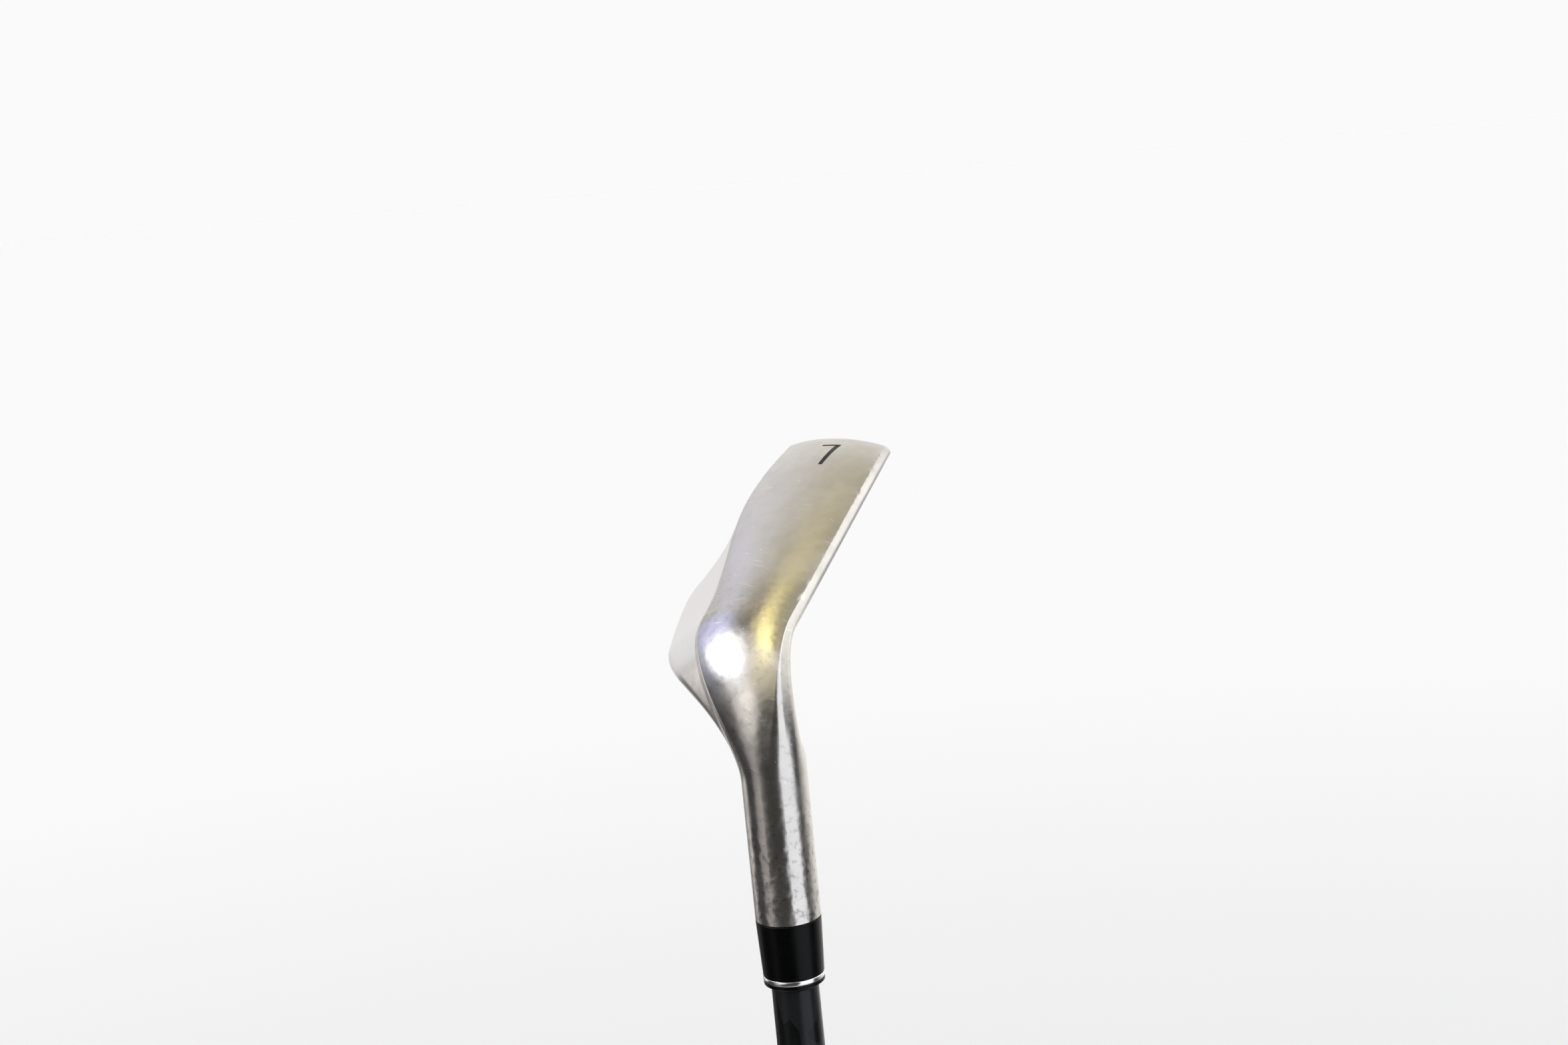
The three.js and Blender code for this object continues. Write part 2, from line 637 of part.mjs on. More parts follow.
// A sleeve on the shaft. The outline is a list of [distance from the ground line, outer radius].
function shaftSleeve(outline) {
  const outer = outline.map(([distance, radius]) => [radius, axisZ(distance)]);
  const ends = [outline.at(-1)[0], outline[0][0]];
  const inner = [...ends, SHAFT_PARALLEL_TIP, FERRULE_END]
    .filter((distance) => distance <= ends[0] && distance >= ends[1])
    .sort((a, b) => b - a)
    .filter((distance, i, all) => i === 0 || distance !== all[i - 1])
    .map((distance) => [shaftRadius(distance) + SMALL_GAP, axisZ(distance)]);
  return turned([...inner, ...outer].reverse());
}

function shaftGeometry() {
  const butt = CLUB_LENGTH - GRIP_CAP.floor;
  const outer = [SHAFT_TIP, SHAFT_PARALLEL_TIP, FERRULE_END, butt]
    .map((distance) => [shaftRadius(distance), axisZ(distance)]);
  const inner = [[SHAFT.buttBore, axisZ(butt)], [SHAFT.tipBore, axisZ(SHAFT_TIP)]];
  return turned([...outer, ...inner].reverse());
}

function tipWeightGeometry() {
  const headRadius = SHAFT.tipRadius - TIP_WEIGHT.headStep;
  const stemRadius = SHAFT.tipBore - SMALL_GAP;
  const seat = SHAFT_TIP - SMALL_GAP;
  return turnedSolid([
    [0, axisZ(SHAFT_TIP + TIP_WEIGHT.stem)],
    [stemRadius, axisZ(SHAFT_TIP + TIP_WEIGHT.stem)],
    [stemRadius, axisZ(seat)],
    [headRadius, axisZ(seat)],
    [headRadius, axisZ(seat - TIP_WEIGHT.head)],
    [0, axisZ(seat - TIP_WEIGHT.head)],
  ]);
}

function epoxyGeometry() {
  const outer = BORE_RADIUS - SMALL_GAP;
  return shaftSleeve([[SHAFT_TIP, outer], [HOSEL_TOP - LAYER_GAP, outer]]);
}

const FERRULE_START = HOSEL_TOP + LAYER_GAP;
const RING_START = FERRULE_START + FERRULE.length + SMALL_GAP;
const COLLAR_START = RING_START + FERRULE.ring + SMALL_GAP;

function ferruleGeometries() {
  const { endRadius, swell, ring, ringCrown, collar, collarShoulder, collarEndRadius } = FERRULE;
  return {
    barrel: shaftSleeve([
      [FERRULE_START, HOSEL_RADIUS],
      [(FERRULE_START + RING_START) / 2, mix(HOSEL_RADIUS, endRadius, swell)],
      [RING_START - SMALL_GAP, endRadius],
    ]),
    ring: shaftSleeve([
      [RING_START, endRadius],
      [RING_START + ring / 2, endRadius + ringCrown],
      [RING_START + ring, endRadius],
    ]),
    collar: shaftSleeve([
      [COLLAR_START, endRadius],
      [COLLAR_START + collar * collarShoulder.at, endRadius - collarShoulder.step],
      [COLLAR_START + collar, collarEndRadius],
    ]),
  };
}

function bandGeometry() {
  const from = CLUB_LENGTH - GRIP_LENGTH - BAND.from;
  const radius = shaftRadius(from + BAND.length) + SMALL_GAP + BAND.thickness;
  return shaftSleeve([[from, radius], [from + BAND.length, radius]]);
}

const GRIP_MOUTH = CLUB_LENGTH - GRIP_LENGTH;

function gripRadius(distance) {
  const along = (distance - GRIP_MOUTH) / (GRIP_LENGTH - GRIP_CAP.length);
  return mix(GRIP.mouthRadius, GRIP.buttRadius, along ** GRIP.taperPower);
}

function tapeGeometry() {
  const mouth = GRIP_MOUTH + TAPE.fromMouth;
  const butt = CLUB_LENGTH - GRIP_CAP.length - TAPE.fromCap;
  const outer = (distance) => shaftRadius(distance) + TAPE.thickness;
  return shaftSleeve([[mouth, outer(mouth)], [butt, outer(butt)]]);
}

function gripGeometry() {
  const butt = CLUB_LENGTH - GRIP_CAP.length - SMALL_GAP;
  const lip = GRIP_MOUTH + GRIP.mouthLip;
  const outer = [[GRIP_MOUTH, GRIP.mouthRadius - GRIP.mouthStep], [lip, GRIP.mouthRadius]];
  for (let i = 1; i <= GRIP_STEPS; i += 1) {
    const distance = mix(lip, butt, i / GRIP_STEPS);
    outer.push([distance, gripRadius(distance)]);
  }
  const bore = (distance) => shaftRadius(distance) + TAPE.thickness + SMALL_GAP;
  const profile = [
    ...outer.map(([distance, radius]) => [radius, axisZ(distance)]),
    [bore(butt), axisZ(butt)],
    [bore(GRIP_MOUTH), axisZ(GRIP_MOUTH)],
  ];
  return turned(profile.reverse());
}

function gripCapGeometry() {
  const { length, radius, round, rim, ventRadius, floor } = GRIP_CAP;
  const seat = shaftRadius(CLUB_LENGTH) + TAPE.thickness + SMALL_GAP;
  const profile = [[ventRadius, 0]];
  for (let i = 0; i <= CAP_ROUND_STEPS; i += 1) {
    const angle = i / CAP_ROUND_STEPS * Math.PI / 2;
    profile.push([radius - round + round * Math.sin(angle), round - round * Math.cos(angle)]);
  }
  profile.push([radius, length - rim]);
  profile.push([GRIP.buttRadius, length]);
  profile.push([seat, length]);
  profile.push([seat, floor - SMALL_GAP]);
  profile.push([ventRadius, floor - SMALL_GAP]);
  return turned(profile);
}

// ---------------------------------------------------------------- materials and assembly

const MATERIALS = {
  castSteel: { color: 0xb9b5ad, roughness: 0.32, metalness: 1 },
  blackPaint: { color: 0x14130f, roughness: 0.5, metalness: 0 },
  adhesive: { color: 0xc9c2a6, roughness: 0.6, metalness: 0 },
  dampingRubber: { color: 0x26272a, roughness: 0.8, metalness: 0 },
  badgeMetal: { color: 0xa8abb0, roughness: 0.35, metalness: 1 },
  accent: { color: 0x1b1c20, roughness: 0.3, metalness: 0 },
  brass: { color: 0xb08d46, roughness: 0.35, metalness: 1 },
  composite: { color: 0x0c0d10, roughness: 0.18, metalness: 0 },
  bandPrint: { color: 0x3a3d42, roughness: 0.25, metalness: 0 },
  ferrulePlastic: { color: 0x08090c, roughness: 0.15, metalness: 0 },
  trimMetal: { color: 0xd9dadc, roughness: 0.2, metalness: 1 },
  tape: { color: 0xd8cfae, roughness: 0.8, metalness: 0 },
  gripRubber: { color: 0x17181a, roughness: 0.85, metalness: 0 },
};

const club = new THREE.Group();

function add(name, geometry, material) {
  const mesh = new THREE.Mesh(geometry, new THREE.MeshStandardMaterial(MATERIALS[material]));
  mesh.name = name;
  club.add(mesh);
}

const { head, fill } = headSolids();
const ferrule = ferruleGeometries();
const badge = badgeGeometries();

add("head_body", head, "castSteel");
add("sole_number_infill", fill, "blackPaint");
add("badge_adhesive_film", badge.film, "adhesive");
add("badge_damping_pad", badge.pad, "dampingRubber");
add("badge_plate", badge.plate, "badgeMetal");
add("badge_accent_strip", badge.strip, "accent");
add("hosel_epoxy_sleeve", epoxyGeometry(), "adhesive");
add("tip_weight_plug", tipWeightGeometry(), "brass");
add("shaft_tube", shaftGeometry(), "composite");
add("shaft_band", bandGeometry(), "bandPrint");
add("ferrule_barrel", ferrule.barrel, "ferrulePlastic");
add("ferrule_trim_ring", ferrule.ring, "trimMetal");
add("ferrule_end_collar", ferrule.collar, "ferrulePlastic");
add("grip_tape", tapeGeometry(), "tape");
add("grip_sleeve", gripGeometry(), "gripRubber");
add("grip_end_cap", gripCapGeometry(), "gripRubber");

export default club;
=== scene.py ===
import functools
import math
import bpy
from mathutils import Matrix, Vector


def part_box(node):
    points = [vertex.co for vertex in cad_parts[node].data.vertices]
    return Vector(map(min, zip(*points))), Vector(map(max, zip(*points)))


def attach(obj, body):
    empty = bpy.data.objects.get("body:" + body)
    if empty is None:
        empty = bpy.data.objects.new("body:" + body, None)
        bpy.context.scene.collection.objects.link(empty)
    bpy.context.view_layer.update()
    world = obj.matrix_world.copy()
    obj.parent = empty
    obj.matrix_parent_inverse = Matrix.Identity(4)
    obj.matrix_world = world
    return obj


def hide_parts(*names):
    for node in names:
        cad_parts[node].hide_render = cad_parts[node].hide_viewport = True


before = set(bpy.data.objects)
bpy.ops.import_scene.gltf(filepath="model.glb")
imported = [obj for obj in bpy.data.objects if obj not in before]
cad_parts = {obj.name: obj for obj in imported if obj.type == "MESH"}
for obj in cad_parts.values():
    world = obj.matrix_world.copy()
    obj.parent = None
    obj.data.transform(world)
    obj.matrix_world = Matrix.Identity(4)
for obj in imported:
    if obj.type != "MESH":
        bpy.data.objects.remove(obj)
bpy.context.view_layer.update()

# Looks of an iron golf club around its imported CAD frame.
#
# Row frame, in metres: +Z runs along the shaft from the butt of the grip to the head, +X points
# towards the toe and +Y from the face towards the back. Shapes are worked out in millimetres. The
# head is drawn in its address frame: x towards the toe, y towards the target, z up from the ground.

from types import SimpleNamespace as Sizes

import bpy
import numpy as np
from mathutils import Matrix, Vector

MM = 0.001

# ---- driving dimensions, mm and degrees

CLUB_LENGTH = 940  # along the shaft axis, from the butt to the ground line
LIE = math.radians(64)
LOFT = math.radians(37.5)

HOSEL_RADIUS = 6.7
HOSEL_OFFSET = -4.6  # y of the shaft axis in the address frame
HOSEL_TOP = 59.9  # along the axis from the ground line
HOSEL_CHAMFER = 0.12

TOE_X = 81
NECK_X = 7.7  # where the blade ends and the neck starts to turn
NECK_Z = 38  # height of the line about which the neck's sections turn
SOLE_LOW_X = 27
SOLE_CAMBER = 0.0028  # curvature of the sole from heel to toe, 1/mm
SOLE_BELLY = 1  # how far the middle of the sole drops below its edges' line
SOLE_WIDTH = Sizes(heel=21, middle=27.1, toe=24.6, places=(8, 50, 80))
LEADING_EDGE_HEIGHT = 4.1
LEADING_BEVEL = Sizes(back=1.275, down=1.36)
TRAILING_EDGE_HEIGHT = 2.7
TRAILING_BEVEL = Sizes(back=1.17, up=1.35)
TOE_ROUND = Sizes(length=25.5, power=2.4)  # how the blade's outline closes at the toe
TOE_LIFT = Sizes(rise=3.8, power=1.5)  # extra rise of the leading edge at the toe
TOE_SOFTENING = Sizes(run=9, growth=4)  # how much rounder the section's corners get at the toe
TOE_END = Sizes(run=4, size=0.72)  # how the sections shrink over the last few millimetres
TOE_CENTRE_Z = 27
TOE_SOLE_Z = 15  # height of the sole's line where the toe ends
TOE_TOP_SHARE = 0.3  # what is left of the topline's height above the toe's centre there
TOPLINE = Sizes(x=15, z=30, slope=math.tan(math.radians(24)), thickness=6.4)
# Height above the sole at heel_x, from where it falls towards the toe, and depths behind the face.
SHOULDER = Sizes(height=18.2, heel_x=10, fall=0.03, heel_depth=30.9, toe_depth=17.5,
                 start=25, run=36)

FACE_THICKNESS = 2.9
PLATE = FACE_THICKNESS / math.cos(LOFT)  # the same along y
# The rim turns down at the bend, measured from the toe end, and is lower by the drop at that end.
CAVITY = Sizes(heel=20, toe=73, shelf=21, rim=4.2, bend=11, drop=3, toe_corner=5,
               shelf_corner=2, heel_corner=1.5, fillet=1.2)
CHANNEL = Sizes(heel=11, toe=75, floor=3.6, wall=3.2, least_depth=3, end_round=7,
                end_rise=6, heel_top=13, opening=17, opening_run=3.5, plate_gap=0.5,
                radii=[3, 1, 1, 3], points=[8, 8, 8, 8])
# The first few lines reach the heel end; each one above them is shorter by the trim.
SCORELINE = Sizes(count=14, first=8, pitch=3, width=0.8, depth=0.4, heel=19, toe=66,
                  full_length=5, trim=3.4, floor_share=0.55, clearance=1.0)
# The digit's top is at x. Its leg is thicker by the throat at the bar. The reach is its cutter's.
NUMBER = Sizes(x=68.4, y=-15.5, height=10.3, width=4.5, stroke=1.05, bar=0.8,
               throat=0.2, depth=0.6, lean=0.03, reach=6)
PAINT = Sizes(side_gap=0.02, sink=0.12, floor_gap=0.03)  # how the fill lies in the engraved digit

# For each corner of a section, in the order that blade_section gives: its radius and the number of points
# from it to the next, the way a hosel side faces in degrees, and the neck's fullness outwards and along y.
SECTION_RADII = np.array([1, 1, 1.5, 6, 0.8, 0.8, 60, 0.8])
SECTION_POINTS = [10, 22, 18, 26, 8, 30, 36, 8]
HOSEL_SIDES = [15, 90, 150, 190, 220, 248, 285, 335]
NECK_FULLNESS = np.array([[0, 1.2], [0, 1.2], [0, 0], [0, 0], [0, 0], [0.8, 0], [0.8, 0], [0.8, 1.2]])
BLADE_STEPS = 230
NECK_STEPS = 90
HOSEL_STEPS = 10
REAR_WALL = "rear_wall"  # the mark on the mesh that the steel shader reads
REAR_WALL_END = Sizes(turn=0.34, run=0.14)  # shares of the neck's turn at which the mark ends and fades
NICK_SEED = 7
# Nicks along a corner of the section: how many, and the ranges of x, shift in y, radius and depth.
NICKS = [(7, 90, (12, 70), (-0.3, 0.6), (0.25, 0.5), (0.03, 0.13)),
         (5, 14, (10, 70), None, (0.3, 0.6), (0.03, 0.07))]
REACH = 80  # far enough to leave the head on any side

ROUND_SEGMENTS = 128
GRIP_SEGMENTS = 160

# ---- small helpers


def mix(a, b, t):
    return a + (b - a) * t


def cosine(degrees):
    return math.cos(math.radians(degrees))


def sine(degrees):
    return math.sin(math.radians(degrees))


def smoothstep(t):
    s = np.clip(t, 0, 1)
    return s * s * (3 - 2 * s)


ADDRESS_TO_ROW = np.array([
    [math.sin(LIE), 0, math.cos(LIE), 0],
    [0, -1, 0, HOSEL_OFFSET],
    [math.cos(LIE), 0, -math.sin(LIE), CLUB_LENGTH],
    [0, 0, 0, 1],
])
AXIS_DIRECTION = np.array([-math.cos(LIE), 0, math.sin(LIE)])


def new_object(name, vertices, faces, material=None):
    mesh = bpy.data.meshes.new(name)
    mesh.from_pydata([tuple(map(float, v)) for v in vertices], [], faces)
    mesh.validate()
    made = bpy.data.objects.new(name, mesh)
    bpy.context.scene.collection.objects.link(made)
    if material:
        mesh.materials.append(material)
    return made


def boolean(target, tool, operation="DIFFERENCE"):
    """Cuts the target by the tool, and removes the tool. Faces that the tool leaves keep its material."""
    modifier = target.modifiers.new("boolean", "BOOLEAN")
    modifier.operation = operation
    modifier.object = tool
    modifier.solver = "EXACT"
    modifier.material_mode = "TRANSFER"
    bpy.context.view_layer.update()
    graph = bpy.context.evaluated_depsgraph_get()
    mesh = bpy.data.meshes.new_from_object(target.evaluated_get(graph))
    target.modifiers.clear()
    target.data = mesh
    bpy.data.objects.remove(tool)


def lifted(source, by):
    """A copy that lies higher."""
    copy = source.copy()
    copy.data = source.data.copy()
    copy.data.transform(Matrix.Translation((0, 0, by)))
    bpy.context.scene.collection.objects.link(copy)
    return copy


def into_row(target, from_address=True):
    """Turns a mesh drawn in millimetres into the row frame in metres."""
    if from_address:
        target.data.transform(Matrix(ADDRESS_TO_ROW.tolist()))
    target.data.transform(Matrix.Scale(MM, 4))
    return target


def place(target, node, slot, sharp=33, weighted=True):
    """Shades a piece smooth between its real edges, makes it ride on the body, hides its CAD node and
    gives it the slot's material if it has none."""
    target.data.shade_smooth()
    target.data.set_sharp_from_angle(angle=math.radians(sharp))
    if weighted:
        target.modifiers.new("normals", "WEIGHTED_NORMAL").keep_sharp = True
    if not target.data.materials:
        target.data.materials.append(MATERIALS[slot])
    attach(target, "root")
    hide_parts(node)


# ---- node trees


class Nodes:
    """A node tree with short calls for the nodes that it uses."""

    def __init__(self, tree):
        self.tree = tree

    def node(self, kind, inputs=None, **settings):
        made = self.tree.nodes.new("ShaderNode" + kind)
        for name, value in settings.items():
            setattr(made, name, value)
        for key, value in (inputs or {}).items():
            self.feed(made.inputs[key], value)
        return made

    def feed(self, socket, value):
        """A link where the value is another node's output, and otherwise a plain value."""
        if isinstance(value, bpy.types.NodeSocket):
            self.tree.links.new(value, socket)
        else:
            socket.default_value = value

    def vector(self, operation, first, second=None, **inputs):
        values = {0: first, **inputs}
        if second is not None:
            values[1] = second
        made = self.node("VectorMath", values, operation=operation)
        return made.outputs["Value" if operation in ("DOT_PRODUCT", "LENGTH") else "Vector"]

    def math(self, operation, first, second=0.0):
        return self.node("Math", {0: first, 1: second}, operation=operation).outputs[0]

    def product(self, first, second):
        return self.math("MULTIPLY", first, second)

    def fade(self, value, start, end, low=0.0, high=1.0):
        """low where value is at start, high where it is at end, and smooth between."""
        inputs = {"Value": value, "From Min": start, "From Max": end, "To Min": low, "To Max": high}
        return self.node("MapRange", inputs, interpolation_type="SMOOTHSTEP").outputs["Result"]

    def blend(self, factor, first, second):
        """A colour between two."""
        made = self.node("Mix", {"Factor": factor}, data_type="RGBA")
        for socket, value in zip(made.inputs[6:8], (first, second)):
            self.feed(socket, (*map(float, value), 1) if isinstance(value, tuple) else value)
        return made.outputs[2]


class Shader(Nodes):
    """One material. Its coordinates are in millimetres in the row frame."""

    def __init__(self, name, **sockets):
        self.material = bpy.data.materials.new(name)
        self.material.use_nodes = True
        super().__init__(self.material.node_tree)
        self.surface = self.tree.nodes["Principled BSDF"]
        for socket, value in sockets.items():
            self.set(socket.replace("_", " ").title().replace("Ior", "IOR"), value)
        where = self.node("TexCoord").outputs["Object"]
        self.point = self.vector("SCALE", where, Scale=1 / MM)

    def set(self, socket, value):
        self.feed(self.surface.inputs[socket], value)

    def finished(self, colour, roughness, relief):
        self.set("Base Color", colour)
        self.set("Roughness", roughness)
        self.set("Normal", relief)
        return self.material

    def noise(self, size, detail=2.0, roughness=0.5, distortion=0.0, at=None):
        """A soft random pattern with features of about this size in millimetres."""
        inputs = {"Vector": at or self.point, "Scale": 1 / size, "Detail": detail, "Roughness": roughness,
                  "Distortion": distortion}
        return self.node("TexNoise", inputs).outputs["Fac"]

    def cells(self, size, at):
        """The distance from the middle of a random cell, and the cell's random colour."""
        made = self.node("TexVoronoi", {"Vector": at, "Scale": 1 / size}, feature="F1")
        return made.outputs["Distance"], made.outputs["Color"]

    def red(self, colour):
        return self.node("SeparateColor", {"Color": colour}).outputs[0]

    def moved(self, scale=(1, 1, 1), rotation=(0, 0, 0), at=None):
        inputs = {"Vector": at or self.point, "Scale": scale,
                  "Rotation": tuple(math.radians(angle) for angle in rotation)}
        return self.node("Mapping", inputs).outputs["Vector"]

    def bump(self, height, distance, under=None):
        """Relief of a pattern from 0 to 1, with this height in millimetres."""
        inputs = {"Height": height, "Distance": distance * MM}
        if under:
            inputs["Normal"] = under
        return self.node("Bump", inputs).outputs["Normal"]

    def scratches(self, angle, length, width, size, density, bend, at):
        """Thin lines, from 0 off a scratch to 1 on it, in the x y plane of the given coordinates."""
        where = self.moved(rotation=(0, 0, angle), at=at)
        wave = self.product(self.noise(size * 2.5, 1.0, at=where), bend)
        where = self.vector("ADD", where, self.node("CombineXYZ", {"Y": wave}).outputs[0])
        distance, colour = self.cells(1, self.moved(scale=(1 / length, 1 / width, 1 / size), at=where))
        chosen = self.math("LESS_THAN", self.red(colour), density)
        return self.product(self.fade(distance, 0.16, 0.02), chosen)


# ---- outline of the blade


def face_y(z):
    """y of the face's flat plane at height z."""
    return -(z - LEADING_EDGE_HEIGHT) * math.tan(LOFT)


def sole_width(x):
    heel, middle, toe = SOLE_WIDTH.places
    heel_half = mix(SOLE_WIDTH.heel, SOLE_WIDTH.middle, smoothstep((x - heel) / (middle - heel)))
    return mix(heel_half, SOLE_WIDTH.toe, smoothstep((x - middle) / (toe - middle)))


def toe_share(x):
    """Share of the full blade height at x: 1 along the blade, falling to 0 at the toe."""
    power = TOE_ROUND.power
    inwards = min(max((TOE_X - x) / TOE_ROUND.length, 0), 1)
    return max(0, 1 - (1 - inwards) ** power) ** (1 / power)


def topline_z(x):
    straight = TOPLINE.z + (x - TOPLINE.x) * TOPLINE.slope
    return TOE_CENTRE_Z + (straight - TOE_CENTRE_Z) * mix(TOE_TOP_SHARE, 1, toe_share(x))


def sole_z(x):
    share = toe_share(x)
    return SOLE_CAMBER * (x - SOLE_LOW_X) ** 2 / 2 * share + TOE_SOLE_Z * (1 - share)


def shoulder_depth(x):
    along = smoothstep((x - SHOULDER.start) / SHOULDER.run)
    return mix(SHOULDER.heel_depth, SHOULDER.toe_depth, along)


def shoulder_z(x):
    return sole_z(x) + SHOULDER.height - (x - SHOULDER.heel_x) * SHOULDER.fall


def blade_section(x):
    """Corners of the section at x as rows of y, z: leading edge, front and back of the topline, back
    shoulder, top and bottom of the trailing bevel, middle of the sole, bottom of the leading bevel."""
    sole = sole_z(x)
    top = topline_z(x)
    edge = sole + LEADING_EDGE_HEIGHT + TOE_LIFT.rise * (1 - toe_share(x)) ** TOE_LIFT.power
    edge_y = face_y(edge)
    shoulder = shoulder_z(x)
    thickness = TOPLINE.thickness
    trailing = (edge_y - sole_width(x), sole + TRAILING_EDGE_HEIGHT)
    corners = np.array([
        (edge_y, edge),
        (face_y(top), top),
        (face_y(top) - thickness * math.cos(LOFT), top - thickness * math.sin(LOFT)),
        (face_y(shoulder) - shoulder_depth(x), shoulder),
        (trailing[0] - TRAILING_BEVEL.back, trailing[1] + TRAILING_BEVEL.up),
        trailing,
        (edge_y - sole_width(x) / 2, sole - SOLE_BELLY),
        (edge_y - LEADING_BEVEL.back, edge - LEADING_BEVEL.down),
    ])
    from_end = min(1, (TOE_X - x) / TOE_END.run)
    size = mix(TOE_END.size, 1, math.sqrt(1 - (1 - from_end) ** 2))
    middle = corners.mean(axis=0)
    return middle + (corners - middle) * size


def blade_radii(x):
    """Radii of the section's corners at x: small along the blade, and soft at the toe."""
    to_toe = max(0, 1 - (TOE_X - x) / TOE_SOFTENING.run)
    return SECTION_RADII * (1 + TOE_SOFTENING.growth * to_toe ** 2)


# ---- rounded sections and lofts


def on_arc(centre, start, end, angle, t):
    """The point that is a part t of the way along an arc that turns by the given angle."""
    return (centre + (start - centre) * math.sin((1 - t) * angle) / math.sin(angle)
            + (end - centre) * math.sin(t * angle) / math.sin(angle))


def unit(v):
    return v / np.linalg.norm(v)


def rounded_section(corners, radii, counts):
    """Points around a polygon with rounded corners, counts[i] from the middle of corner i's arc to the
    middle of the next. They are spaced half by length and half by turning."""
    size = len(corners)
    to_previous = np.array([unit(corners[i - 1] - corners[i]) for i in range(size)])
    to_next = np.array([unit(corners[(i + 1) % size] - corners[i]) for i in range(size)])
    edge = np.array([np.linalg.norm(corners[(i + 1) % size] - corners[i]) for i in range(size)])
    turn = math.pi - np.arccos(np.clip((to_previous * to_next).sum(axis=1), -0.99999, 0.99999))
    tangent = np.asarray(radii, float) * np.tan(turn / 2)
    after = edge / (tangent + np.roll(tangent, -1))
    reach = tangent * np.minimum(1, np.minimum(after, np.roll(after, 1)))
    radius = reach / np.tan(turn / 2)
    inwards = np.array([unit(to_previous[i] + to_next[i]) for i in range(size)])
    centre = corners + inwards * (radius / np.cos(turn / 2))[:, None]
    middle = centre - inwards * radius[:, None]
    points = []
    for i in range(size):
        j = (i + 1) % size
        bends = turn[i] / 2, turn[j] / 2
        straight = max(0, edge[i] - reach[i] - reach[j])
        length = radius[i] * bends[0] + straight + radius[j] * bends[1]
        first = (radius[i] * bends[0] / length + bends[0] / sum(bends)) / 2
        last = (radius[j] * bends[1] / length + bends[1] / sum(bends)) / 2
        leaving = corners[i] + to_next[i] * reach[i]
        arriving = corners[j] + to_previous[j] * reach[j]
        for k in range(counts[i]):
            along = k / counts[i]
            if along < first:
                points.append(on_arc(centre[i], middle[i], leaving, bends[0], along / first))
            elif along < 1 - last:
                points.append(mix(leaving, arriving, (along - first) / (1 - last - first)))
            else:
                part = (along - 1 + last) / last
                points.append(on_arc(centre[j], arriving, middle[j], bends[1], part))
    return np.array(points)


def at_x(x, section):
    return np.column_stack([np.full(len(section), x), section])


def lofted(name, rings, material=None, closed=False):
    """A surface of four-sided faces through the rings, with a flat face at each end unless closed."""
    count, total = len(rings[0]), len(rings)
    faces = []
    for i in range(total if closed else total - 1):
        here, there = i * count, (i + 1) % total * count
        for j, k in zip(range(count), [*range(1, count), 0]):
            faces.append((here + j, there + j, there + k, here + k))
    if not closed:
        faces.append(tuple(range(count)))
        faces.append(tuple(reversed(range((total - 1) * count, total * count))))
    return new_object(name, np.concatenate(rings), faces, material)


def prism(name, outline, low, high, material=None):
    """A prism over an anticlockwise outline in x and y, from low to high."""
    rings = [np.column_stack([outline, np.full(len(outline), z)]) for z in (high, low)]
    return lofted(name, rings, material)


# ---- head


def hosel_corners(outwards):
    """Corners of the polygon round the hosel's circle, as outwards from the neck's line and y."""
    corners = []
    for before, side in zip([HOSEL_SIDES[-1] - 360, *HOSEL_SIDES], HOSEL_SIDES):
        middle = (before + side) / 2
        reach = HOSEL_RADIUS / cosine((side - before) / 2)
        corners.append((outwards - reach * sine(middle), HOSEL_OFFSET + reach * cosine(middle)))
    return np.array(corners)


def head_rings():
    """Sections of the head from the toe along the blade and through the neck to the hosel's rim."""
    rings = []
    for i in range(BLADE_STEPS):
        x = TOE_X - (TOE_X - NECK_X) * (1 - math.cos(i / (BLADE_STEPS - 1) * math.pi / 2))
        rings.append(at_x(x, rounded_section(blade_section(x), blade_radii(x), SECTION_POINTS)))
    neck_line = np.array([NECK_X, 0, NECK_Z])
    toe_normal = np.array([math.sin(LIE), 0, math.cos(LIE)])
    first, inner = ([(NECK_Z - z, y) for y, z in blade_section(NECK_X + step)] for step in (0, 1))
    first, inner = np.array(first), np.array(inner)
    last = hosel_corners(neck_line @ toe_normal)
    for k in range(1, NECK_STEPS + 1):
        t = k / NECK_STEPS
        angle = LIE * t
        share = smoothstep(t)
        lead = t * (1 - t) ** 2 * LIE
        corners = (mix(first, last, share) + lead * first[:, :1] * (first - inner)
                   + 16 * (t * (1 - t)) ** 2 * NECK_FULLNESS)
        radii = np.exp(mix(np.log(SECTION_RADII), math.log(HOSEL_RADIUS), share))
        flat = rounded_section(np.column_stack([corners[:, 1], -corners[:, 0]]), radii, SECTION_POINTS)
        outwards = np.array([-math.sin(angle), 0, -math.cos(angle)])
        ring = neck_line - flat[:, 1:] * outwards
        ring[:, 1] = flat[:, 0]
        rings.append(ring)
    hosel = rings[-1]
    rise = HOSEL_TOP - neck_line @ AXIS_DIRECTION
    for k in range(1, HOSEL_STEPS + 1):
        rings.append(hosel + AXIS_DIRECTION * (rise - HOSEL_CHAMFER) * k / HOSEL_STEPS)
    top_centre = AXIS_DIRECTION * HOSEL_TOP + np.array([0, HOSEL_OFFSET, 0])
    narrow = rings[-1] + AXIS_DIRECTION * HOSEL_CHAMFER
    rings.append(top_centre + (narrow - top_centre) * (1 - HOSEL_CHAMFER / HOSEL_RADIUS))
    return rings


